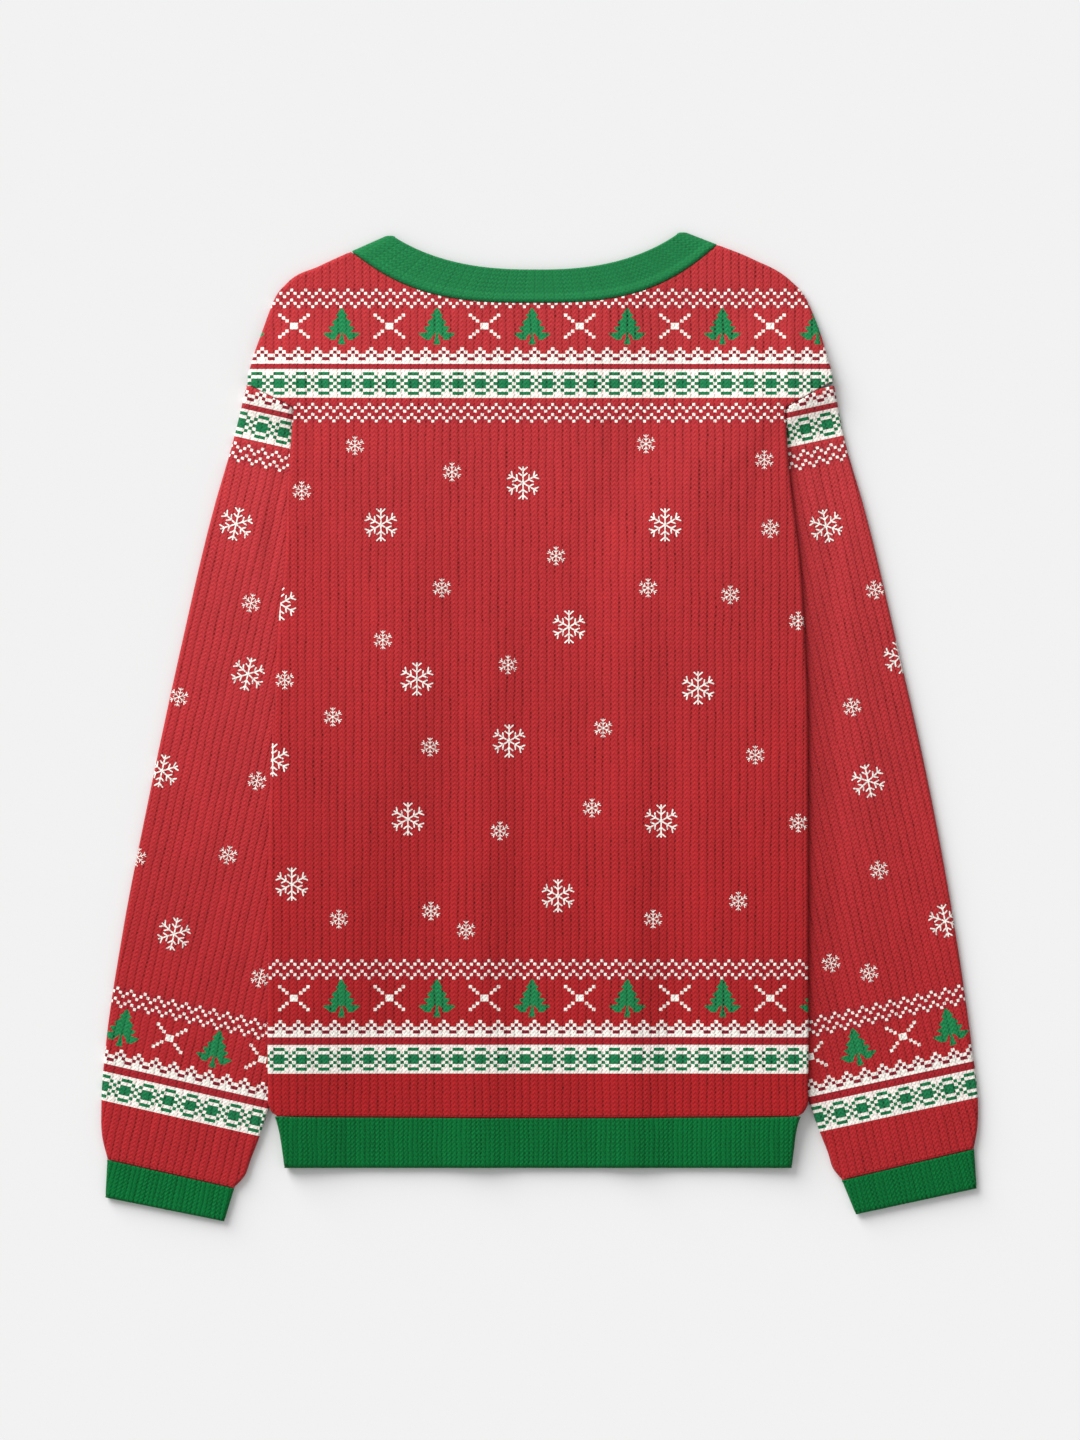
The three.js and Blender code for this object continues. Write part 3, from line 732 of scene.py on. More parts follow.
def collar():
    shell = Shell()
    turns = np.radians(np.linspace(0, 180, 9))
    inner = 1 - np.r_[0.0, 0.012, 0.024, 0.036, 0.05, 0.065, 0.08, 0.1]
    spread = np.r_[-inner, np.linspace(-0.88, 0.88, 132), inner[::-1]]
    tip = 1 - 2 * ROUND / 126
    columns = []
    for share in spread:
        columns.append((share * tip, 0.0, "back"))
    for angle in turns[1:-1]:
        columns.append((tip + (1 - tip) * math.sin(angle), angle, "right"))
    for share in spread[::-1][::2]:
        columns.append((share * tip, math.pi, "front"))
    for angle in turns[1:-1][::-1]:
        columns.append((-tip - (1 - tip) * math.sin(angle), angle, "left"))
    columns.append(columns[0])
    shares = np.r_[0, 0.006, 0.02, 0.05, np.linspace(0.09, 0.95, 14), 0.975, 0.99, 1.0]
    outer, lining, chart = [], [], []
    for number, (out, angle, part) in enumerate(columns):
        back_seam, back_free = collar_width(np.array(out), "back_seam", "back_free")
        front_seam, front_free = collar_width(np.array(out), "front_seam", "front_free")
        mix = (1 - math.cos(angle)) / 2
        seam_point = back_seam + (front_seam - back_seam) * mix
        free_point = back_free + (front_free - back_free) * mix
        wide = np.linalg.norm(free_point - seam_point)
        near = min((1 - abs(out)) * 126, TIP_ROUND)
        short = (TIP_ROUND - math.sqrt(TIP_ROUND**2 - (TIP_ROUND - near) ** 2)) / wide
        reach = wide * (1 - short) + TIP_REACH * abs(out) ** 8
        plan = seam_point + (free_point - seam_point) / wide * (shares * reach)[:, None]
        rib = COLLAR_RIB_DEPTH * (0.5 + 0.5 * math.cos(out * COLLAR_RIBS * math.pi))
        over = np.clip(shares / COLLAR_ROLL_SHARE, 0, 1)
        rise = COLLAR_ROLL * np.sin(np.pi * over) ** 0.7 * (0 if part == "front" else math.cos(angle / 2))
        lip = WALL / 2
        edge = np.minimum(np.minimum(shares, 1 - shares) * wide, lip)
        drop = lip - np.sqrt(np.maximum(lip**2 - (lip - edge) ** 2, 0))
        thick = ROUND - drop
        height = ROUND + (thick - rib * (edge / lip) + rise) * math.cos(angle)
        outer.append(np.column_stack([plan, height]))
        inside = ROUND + (GAP / 2 + drop) * math.cos(angle)
        pull = -np.sign(out) * (0 if part in ("back", "front") else WALL * math.sin(angle))
        lining.append(np.column_stack([plan + np.array([pull, 0]), inside]))
        chart.append(np.column_stack([np.full(len(shares), out * 126), shares * 27]))
    outer, lining, chart = (np.array(rows).transpose(1, 0, 2) for rows in (outer, lining, chart))
    wall = np.concatenate([outer, lining[::-1], outer[:1]], 0)
    wall_chart = np.concatenate([chart, chart[::-1], chart[:1]], 0)
    shell.grid(wall, wall_chart)
    return shell.build("collar_cloth")


collar_cloth = collar()

print("sleeve frames turned by", [round(math.degrees(t), 1) for t in TURN.values()], "degrees")

# %% [markdown]
# ## Colours and charts
# Three dyes make the whole garment: a warm red, a fir green and an undyed off-white. The colours are the
# ones that the cloth shows in daylight. The patterns of the bands are small charts, as a knitter would
# draw them: each row of text is a row of stitches, from the middle of the repeat outwards, and a hash is
# a stitch in the second colour. The charts are looked up by nodes, so that edges stay crisp at any
# distance.


# %% Colours, the node helper and the charts
def colour(hex_code):
    """An sRGB hex colour as linear light."""
    parts = [int(hex_code[k : k + 2], 16) / 255 for k in (1, 3, 5)]
    return (*[p / 12.92 if p <= 0.04045 else ((p + 0.055) / 1.055) ** 2.4 for p in parts], 1.0)


# Hem red, then shoulder red painted lighter for the light; the body's reds are painted darker for its shade
BODY_REDS_TO_PAINTED_LIGHT, SLEEVE_REDS_TO_PAINTED_LIGHT = ("#9B1015", "#A2262A"), ("#A01A1F", "#A82E32")
# The first is the deep red of the shade painted next to the white print; the second is the undyed yarn
PRINT_SHADE_RED, OFF_WHITE = "#7A0F22", "#DFD9D1"
# The collar's green is the rib green painted lighter, for the light on the collar
HEM_GREEN, COLLAR_GREEN_PAINTED_LIGHTER, CHAIN_GREEN, FIR_GREEN = "#03622D", "#0A6635", "#0A6A3E", "#0B7440"
MATH, VECTOR_MATH = "ShaderNodeMath", "ShaderNodeVectorMath"
DOTTED = ("#..", ".#.", "..#")
BORDER = ("#..", ".#.", "#.#", "##.", "###")
CHAIN = ("###.", "##.#", "..#.", "##..")
BORDER_SHADE = ("...", "#..", ".#.", "..#", "...")


# %% One function that adds a node
def add(tree, kind, *feeds, out=0, **settings):
    """Adds a node with its settings, feeds its inputs in order and returns one of its outputs."""
    made = tree.nodes.new(kind)
    for name, value in settings.items():
        setattr(made, name, value)
    for socket, value in zip(made.inputs, feeds):
        if isinstance(value, bpy.types.NodeSocket):
            tree.links.new(value, socket)
        elif value is not None:
            socket.default_value = value
    return made.outputs[out]


# %% Charts, drawn curves and groups
def charted(tree, chart, row, column):
    """1 where the chart has a hash in this row and column."""
    cells = "".join(chart)
    cell = add(tree, MATH, row, float(len(chart[0])), column, operation="MULTIPLY_ADD")
    share = add(tree, MATH, cell, 1 / len(cells), 0.5 / len(cells), operation="MULTIPLY_ADD")
    value = add(tree, "ShaderNodeValToRGB", share)
    ramp = value.node.color_ramp
    ramp.interpolation = "CONSTANT"
    shade = {"#": (1, 1, 1, 1), ".": (0, 0, 0, 1)}
    ramp.elements[0].color, ramp.elements[1].color = shade[cells[0]], shade[cells[-1]]
    for place in range(1, len(cells)):
        if cells[place] != cells[place - 1]:
            ramp.elements.new(place / len(cells)).color = shade[cells[place]]
    return value


def curved(tree, at, length, points, tall):
    """A curve through (along, value) points, for along from 0 to length and values from 0 to tall."""
    share = add(tree, MATH, at, length, operation="DIVIDE", use_clamp=True)
    value = add(tree, "ShaderNodeFloatCurve", 1.0, share)
    curve = value.node.mapping.curves[0]
    while len(curve.points) < len(points):
        curve.points.new(0.5, 0.5)
    for point, (along_it, high) in zip(curve.points, points):
        point.location = (along_it / length, high / tall)
        point.handle_type = "VECTOR"
    value.node.mapping.update()
    return add(tree, MATH, value, tall, operation="MULTIPLY")


def group_of(name, inputs, outputs):
    tree = bpy.data.node_groups.new(name, "ShaderNodeTree")
    for label, kind in inputs:
        tree.interface.new_socket(label, in_out="INPUT", socket_type=kind)
    for label in outputs:
        tree.interface.new_socket(label, in_out="OUTPUT", socket_type="NodeSocketFloat")
    return tree, tree.nodes.new("NodeGroupInput").outputs, tree.nodes.new("NodeGroupOutput").inputs


# %% [markdown]
# ## The bands
# From below, a band has a white stripe with green linked lozenges, a thin red line, a stepped white
# border, a row of fir trees with crosses of white dots between them, and a lace of white dots. The upper
# band has a second lace below its white stripe. The upper and the lower band have the same charts, but
# the lower one is a little taller. Each stripe has its own repeat, because the counts differ.

# %% Band measures in mm
CHAIN_HIGH, CHAIN_ROW, CHAIN_STITCH = 21.4, 2.45, 2.786
BORDER_ROW, BORDER_STITCH = 2.47, 2.715
LACE_ROW, LACE_STITCH, LACE_ROWS = 2.49, 2.637, 6
LACE_TOP = 56.4
LOWER_LACE_TOP = -3.7
TREE_REPEAT, TREE_FOOT, TREE_TALL = 71.2, 14.4, 27.4
TREE_RAGGED = 1.8
CROSS_MIDDLE, CROSS_REACH = 28.2, 14.0
CROSS_HEART, CROSS_FIRST, CROSS_STEP, CROSS_DOT = (3.0, 2.4), (5.2, 3.8), (2.65, 2.2), (1.25, 1.15)
LACE_DOT, LACE_SHADE, LINE_SHADE, LINE_MOST = 0.42, 0.3, 0.35, 9.0
LINE_UPPER, LINE_LOWER, TALLER = 4.1, 5.8, 1.035
TREE_EDGE = [  # height above the foot of the trunk, half width of the tree
    (0, 2.6), (3.5, 1.7), (3.6, 8.6), (4.7, 9.7), (5.8, 11.1), (6.8, 12.3), (7.9, 13.9), (8.6, 13.2),
    (9.3, 6.6), (11, 8.3), (12.6, 9.9), (13.3, 9.0), (14, 5.7), (15.1, 6.1), (16.7, 7.5), (18.3, 5.4),
    (20.5, 2.9), (21.5, 4.3), (22.2, 4.6), (23, 3.2), (24.4, 2.4), (25.9, 1.7), (27.4, 0.4),
]
TREE_GAP = [(0, 0), (3.55, 0), (3.6, 4.7), (5.8, 3.9), (7.9, 1.9), (8.9, 0.7), (9.0, 0), (27.4, 0)]
TREE_TRUNK = [(0, 2.6), (3.6, 1.6), (8.9, 0.8), (9.0, 0), (27.4, 0)]

PHASES = ("Tree", "Border", "Chain", "Lace", "Lower lace", "Upper shift")
FLOAT, VECTOR = "NodeSocketFloat", "NodeSocketVector"


# %% The bands' node group
def bands_group():
    tree, given, made = group_of(
        "knitted bands",
        [("Chart", VECTOR), ("Upper", FLOAT), ("Lower", FLOAT)] + [(p, FLOAT) for p in PHASES],
        ("White", "Green", "Fir", "Print shade"),
    )
    split = add(tree, "ShaderNodeSeparateXYZ", given["Chart"])
    x, y = split.node.outputs[0], split.node.outputs[1]
    upper_start = add(tree, MATH, given["Upper"], -30.0, operation="ADD")
    is_upper = add(tree, MATH, y, upper_start, operation="GREATER_THAN")
    bottom = add(tree, "ShaderNodeMix", is_upper, None, given["Lower"], given["Upper"])
    bottom = bottom.node.outputs[0]
    rise = add(tree, MATH, y, bottom, operation="SUBTRACT")
    line = add(tree, MATH, is_upper, LINE_UPPER - LINE_LOWER, LINE_LOWER, operation="MULTIPLY_ADD")
    line = add(tree, MATH, line, CHAIN_HIGH, operation="ADD")
    stretch = add(tree, MATH, is_upper, 1 - TALLER, TALLER, operation="MULTIPLY_ADD")
    above = add(tree, MATH, rise, line, operation="SUBTRACT")
    above = add(tree, MATH, above, stretch, operation="DIVIDE")

    moved = add(tree, MATH, is_upper, given["Upper shift"], operation="MULTIPLY")
    moved = add(tree, MATH, x, moved, operation="SUBTRACT")

    def stitch_from(start, width, across=moved):
        """The number of stitches from the middle of a repeat."""
        away = add(tree, MATH, across, start, operation="SUBTRACT")
        return add(tree, MATH, away, width, operation="DIVIDE")

    def between(value, low, high):
        over = add(tree, MATH, value, low, operation="GREATER_THAN")
        under = add(tree, MATH, value, high, operation="LESS_THAN")
        return add(tree, MATH, over, under, operation="MULTIPLY")

    # The white stripe and its lozenges
    in_chain = between(rise, 0.0, CHAIN_HIGH)
    row = add(tree, MATH, rise, CHAIN_HIGH / 2, operation="SUBTRACT")
    row = add(tree, MATH, row, CHAIN_ROW, operation="DIVIDE")
    row = add(tree, MATH, add(tree, MATH, row, operation="ROUND"), operation="ABSOLUTE")
    stitch = add(tree, MATH, stitch_from(given["Chain"], CHAIN_STITCH), operation="ROUND")
    stitch = add(tree, MATH, stitch, 3.0, operation="PINGPONG")
    lozenge = charted(tree, CHAIN, row, stitch)
    in_rows = add(tree, MATH, row, 3.5, operation="LESS_THAN")
    lozenge = add(tree, MATH, lozenge, in_rows, operation="MULTIPLY")
    lozenge = add(tree, MATH, lozenge, in_chain, operation="MULTIPLY")
    stripe = add(tree, MATH, in_chain, lozenge, operation="SUBTRACT")

    # The stepped border
    row = add(tree, MATH, 5 * BORDER_ROW, above, operation="SUBTRACT")
    row = add(tree, MATH, add(tree, MATH, row, BORDER_ROW, operation="DIVIDE"), operation="FLOOR")
    stitch = add(tree, MATH, stitch_from(given["Border"], BORDER_STITCH), operation="ROUND")
    stitch = add(tree, MATH, stitch, 2.5, operation="PINGPONG")
    in_border = between(above, 0.0, 5 * BORDER_ROW)
    border = add(tree, MATH, charted(tree, BORDER, row, stitch), in_border, operation="MULTIPLY")
    # Shade is painted on the red cells inside the border's white steps
    print_shade = add(tree, MATH, charted(tree, BORDER_SHADE, row, stitch), in_border, operation="MULTIPLY")

    # The laces of dots
    is_below = add(tree, MATH, rise, 0.0, operation="LESS_THAN")
    down = add(tree, MATH, LACE_TOP, above, operation="SUBTRACT")
    down_below = add(tree, MATH, LOWER_LACE_TOP, rise, operation="SUBTRACT")
    down = add(tree, "ShaderNodeMix", is_below, None, down, down_below).node.outputs[0]
    start = add(tree, "ShaderNodeMix", is_below, None, given["Lace"], given["Lower lace"]).node.outputs[0]
    row = add(tree, MATH, down, LACE_ROW, operation="DIVIDE")
    in_row = add(tree, MATH, add(tree, MATH, row, operation="FRACT"), 0.5, operation="SUBTRACT")
    row = add(tree, MATH, add(tree, MATH, row, operation="FLOOR"), 3.0, operation="MODULO")
    place = stitch_from(start, LACE_STITCH, x)
    stitch = add(tree, MATH, place, operation="ROUND")
    in_stitch = add(tree, MATH, place, stitch, operation="SUBTRACT")
    dot = add(tree, VECTOR_MATH, add(tree, "ShaderNodeCombineXYZ", in_stitch, in_row), operation="ABSOLUTE")
    dot = add(tree, "ShaderNodeSeparateXYZ", dot).node.outputs
    dot = add(tree, MATH, dot[0], dot[1], 0.15, operation="SMOOTH_MAX")
    dot = add(tree, MATH, dot, LACE_DOT, operation="LESS_THAN")
    lace = charted(tree, DOTTED, row, add(tree, MATH, stitch, 2.0, operation="PINGPONG"))
    lace = add(tree, MATH, lace, dot, operation="MULTIPLY")
    in_lace = between(down, 0.0, LACE_ROWS * LACE_ROW)
    lace = add(tree, MATH, lace, in_lace, operation="MULTIPLY")
    not_below = add(tree, MATH, 1.0, is_below, operation="SUBTRACT")
    only_upper = add(tree, MATH, is_upper, not_below, operation="MAXIMUM")
    lace = add(tree, MATH, lace, only_upper, operation="MULTIPLY")
    lace_shade = add(tree, MATH, in_lace, only_upper, operation="MULTIPLY")
    lace_shade = add(tree, MATH, lace_shade, LACE_SHADE, operation="MULTIPLY")
    print_shade = add(tree, MATH, print_shade, lace_shade, operation="MAXIMUM")

    # The thin red line gets painted shade, as it lies between two whites
    over_chain = add(tree, MATH, rise, CHAIN_HIGH, operation="GREATER_THAN")
    thin_line = add(tree, MATH, between(above, -LINE_MOST, 0.0), over_chain, operation="MULTIPLY")
    thin_line = add(tree, MATH, thin_line, LINE_SHADE, operation="MULTIPLY")
    print_shade = add(tree, MATH, print_shade, thin_line, operation="MAXIMUM")

    # The fir trees
    from_tree = add(tree, MATH, x, given["Tree"], operation="SUBTRACT")
    out = add(tree, MATH, from_tree, TREE_REPEAT / 2, operation="PINGPONG")
    high = add(tree, MATH, above, TREE_FOOT, operation="SUBTRACT")
    ragged = add(tree, "ShaderNodeTexNoise", given["Chart"], None, 0.55, 2.0, noise_dimensions="2D")
    out = add(tree, MATH, out, TREE_RAGGED / 2, operation="SUBTRACT")
    out = add(tree, MATH, ragged, TREE_RAGGED, out, operation="MULTIPLY_ADD")
    edge = curved(tree, high, TREE_TALL, TREE_EDGE, 20.0)
    gap = curved(tree, high, TREE_TALL, TREE_GAP, 20.0)
    trunk = curved(tree, high, TREE_TALL, TREE_TRUNK, 20.0)
    branch = add(tree, MATH, out, gap, operation="GREATER_THAN")
    stem = add(tree, MATH, out, trunk, operation="LESS_THAN")
    fir = add(tree, MATH, branch, stem, operation="MAXIMUM")
    fir = add(tree, MATH, fir, add(tree, MATH, out, edge, operation="LESS_THAN"), operation="MULTIPLY")
    fir = add(tree, MATH, fir, between(high, 0.0, TREE_TALL), operation="MULTIPLY")

    # The crosses between the trees
    sideways = add(tree, MATH, from_tree, TREE_REPEAT / 2, operation="ADD")
    sideways = add(tree, MATH, sideways, TREE_REPEAT / 2, operation="PINGPONG")
    upward = add(tree, MATH, above, CROSS_MIDDLE, operation="SUBTRACT")
    upward = add(tree, MATH, upward, operation="ABSOLUTE")
    wide = add(tree, MATH, sideways, CROSS_HEART[0], operation="LESS_THAN")
    tall = add(tree, MATH, upward, CROSS_HEART[1], operation="LESS_THAN")
    heart = add(tree, MATH, wide, tall, operation="MULTIPLY")
    (first_x, first_y), (step_x, step_y) = CROSS_FIRST, CROSS_STEP
    step = add(tree, MATH, sideways, 1 / step_x, -first_x / step_x, operation="MULTIPLY_ADD")
    step = add(tree, "ShaderNodeClamp", add(tree, MATH, step, operation="ROUND"), 0.0, 2.0)
    dot_x = add(tree, MATH, step, step_x, first_x, operation="MULTIPLY_ADD")
    dot_y = add(tree, MATH, step, step_y, first_y, operation="MULTIPLY_ADD")
    near_x = add(tree, MATH, sideways, dot_x, CROSS_DOT[0], operation="COMPARE")
    near_y = add(tree, MATH, upward, dot_y, CROSS_DOT[1], operation="COMPARE")
    cross = add(tree, MATH, near_x, near_y, operation="MULTIPLY")
    cross = add(tree, MATH, cross, heart, operation="MAXIMUM")
    beside_tree = between(above, CROSS_MIDDLE - CROSS_REACH, CROSS_MIDDLE + CROSS_REACH)
    cross = add(tree, MATH, cross, beside_tree, operation="MULTIPLY")

    white = add(tree, MATH, stripe, border, operation="MAXIMUM")
    white = add(tree, MATH, white, lace, operation="MAXIMUM")
    white = add(tree, MATH, white, cross, operation="MAXIMUM")
    tree.links.new(white, made["White"])
    tree.links.new(lozenge, made["Green"])
    tree.links.new(fir, made["Fir"])
    tree.links.new(print_shade, made["Print shade"])
    return tree


BANDS = bands_group()
print("bands:", len(BANDS.nodes), "nodes")


# %% [markdown]
# ## Snowflakes
# A snowflake has six equal arms, and each arm has two pairs of barbs. The map "flake" says where each
# point lies in its own flake, so that one drawing serves them all: the angle is folded into one half arm,
# and the distance to three straight strokes is measured there.

# %% Snowflake strokes, in shares of the radius
STROKES = [((0.0, 0.0), (0.97, 0.0)), ((0.4, 0.0), (0.58, 0.235)), ((0.74, 0.0), (0.95, 0.245))]
STROKE_HALF, STROKE_SHADE = 0.043, 0.13


def snowflake_group():
    tree, given, made = group_of("snowflake", [("Flake", VECTOR)], ("White", "Shade"))
    split = add(tree, "ShaderNodeSeparateXYZ", given["Flake"]).node.outputs
    angle = add(tree, MATH, split[0], split[1], operation="ARCTAN2")
    angle = add(tree, MATH, angle, math.radians(30), operation="PINGPONG")
    far = add(tree, VECTOR_MATH, given["Flake"], operation="LENGTH", out=1)
    along_arm = add(tree, MATH, far, add(tree, MATH, angle, operation="COSINE"), operation="MULTIPLY")
    beside = add(tree, MATH, far, add(tree, MATH, angle, operation="SINE"), operation="MULTIPLY")
    point = add(tree, "ShaderNodeCombineXYZ", along_arm, beside)
    nearest = None
    for (ax, ay), (bx, by) in STROKES:
        from_a = add(tree, VECTOR_MATH, point, (ax, ay, 0), operation="SUBTRACT")
        stroke = (bx - ax, by - ay, 0)
        square = stroke[0] ** 2 + stroke[1] ** 2
        share = add(tree, VECTOR_MATH, from_a, stroke, operation="DOT_PRODUCT", out=1)
        share = add(tree, MATH, share, square, operation="DIVIDE", use_clamp=True)
        foot = add(tree, VECTOR_MATH, stroke, None, None, share, operation="SCALE")
        gap = add(tree, VECTOR_MATH, from_a, foot, operation="DISTANCE", out=1)
        nearest = gap if nearest is None else add(tree, MATH, nearest, gap, operation="MINIMUM")
    tree.links.new(add(tree, MATH, nearest, STROKE_HALF, operation="LESS_THAN"), made["White"])
    shade = add(tree, "ShaderNodeMapRange", nearest, STROKE_HALF, STROKE_SHADE, 0.55, 0.0)
    tree.links.new(shade, made["Shade"])
    return tree


SNOWFLAKE = snowflake_group()
print("snowflake:", len(SNOWFLAKE.nodes), "nodes")

# %% [markdown]
# ## Knitted cloth
# The yarn is a brushed acrylic, so the cloth is matt, with a faint bloom of loose fibre. Ribs stand
# between grooves, and shade is painted into each groove, with a line of small holes in painted shade,
# uneven in strength, because some stitches are tighter. Each rib holds two columns of slanted stitches, and
# shade is painted along the line between them and on the stitches' relief. The scales are real sizes: a rib
# is 6 mm wide, a stitch 3 mm wide and 3.3 mm tall, and a fibre's fuzz under 0.5 mm.

# %% Knit finishes
STITCH_WIDE, STITCH_TALL = 3.0, 3.3


def knit_surface(tree, chart, pitch, hole_shade, groove_shade):
    """The height of the stitches in mm, and the shade painted into the grooves, holes and stitches."""
    slow = add(tree, VECTOR_MATH, chart, (0.05, 0.04, 0), operation="MULTIPLY")
    wander = add(tree, "ShaderNodeTexNoise", slow, None, 1.0, 2.0, 0.6)
    wander = add(tree, "ShaderNodeMapRange", wander, 0.25, 0.75, -0.7, 0.7)
    split = add(tree, "ShaderNodeSeparateXYZ", chart).node.outputs
    x, y = add(tree, MATH, split[0], wander, operation="ADD"), split[1]
    rib = add(tree, MATH, x, pitch, operation="DIVIDE")
    from_groove = add(tree, MATH, rib, 0.5, operation="PINGPONG")
    from_groove = add(tree, MATH, from_groove, pitch, operation="MULTIPLY")
    soft = {"interpolation_type": "SMOOTHSTEP"}
    groove = add(tree, "ShaderNodeMapRange", from_groove, 0.0, 1.3, 1.0, 0.0, **soft)
    middle = add(tree, "ShaderNodeMapRange", from_groove, pitch / 2 - 0.9, pitch / 2, 0.0, 0.45)
    row = add(tree, MATH, y, STITCH_TALL, operation="DIVIDE")
    from_row = add(tree, MATH, row, 0.5, operation="PINGPONG")
    from_row = add(tree, MATH, from_row, STITCH_TALL, operation="MULTIPLY")
    hole = add(tree, "ShaderNodeCombineXYZ", from_groove, from_row)
    hole = add(tree, VECTOR_MATH, hole, operation="LENGTH", out=1)
    hole = add(tree, "ShaderNodeMapRange", hole, 0.35, 1.3, 1.0, 0.0, **soft)
    which_rib = add(tree, MATH, rib, operation="ROUND")
    which_row = add(tree, MATH, row, operation="ROUND")
    number = add(tree, "ShaderNodeCombineXYZ", which_rib, which_row)
    chance = add(tree, "ShaderNodeTexWhiteNoise", number, noise_dimensions="2D")
    chance = add(tree, "ShaderNodeMapRange", chance, 0.0, 1.0, 0.45, 1.3)
    hole = add(tree, MATH, hole, chance, operation="MULTIPLY")
    column = add(tree, MATH, x, STITCH_WIDE, operation="DIVIDE")
    lean = add(tree, MATH, column, 0.5, operation="PINGPONG")
    stack = add(tree, MATH, lean, 1.1, row, operation="MULTIPLY_ADD")
    yarn = add(tree, MATH, add(tree, MATH, stack, 2 * math.pi, operation="MULTIPLY"), operation="SINE")
    height = add(tree, MATH, yarn, 0.16, operation="MULTIPLY")
    height = add(tree, MATH, groove, -0.3, height, operation="MULTIPLY_ADD")
    height = add(tree, MATH, hole, -0.45, height, operation="MULTIPLY_ADD")
    # Painted shade: in the grooves, along each rib's middle, in the holes and on the stitches' relief
    painted_shade = add(tree, MATH, groove, middle, operation="ADD")
    painted_shade = add(tree, MATH, painted_shade, groove_shade, operation="MULTIPLY")
    painted_shade = add(tree, MATH, hole, hole_shade, painted_shade, operation="MULTIPLY_ADD")
    painted_shade = add(tree, MATH, yarn, -0.14, painted_shade, operation="MULTIPLY_ADD")
    spread = add(tree, VECTOR_MATH, chart, (0.07, 0.018, 0), operation="MULTIPLY")
    patchy = add(tree, "ShaderNodeTexNoise", spread, None, 1.0, 3.0, 0.65)
    patchy = add(tree, "ShaderNodeMapRange", patchy, 0.35, 0.66, 0.2, 1.4)
    return height, add(tree, MATH, painted_shade, patchy, operation="MULTIPLY")


# %% [markdown]
# The finish puts the dyes, the print and the painted shade of the stitches together. A shaded red loses its
# green and blue first, which keeps it warm, and white print hides most of the holes. Light is painted on
# towards the shoulders, so the cloth has one colour at the hem and a lighter one at the top.

# %% The finish of the cloth
# How much the painted shade takes from red, green and blue
SHADE_DEEPENS = (0.75, 1.25, 1.2)
WHITE_HIDES = 0.7
ROUGHNESS, SHEEN = 0.8, 0.05


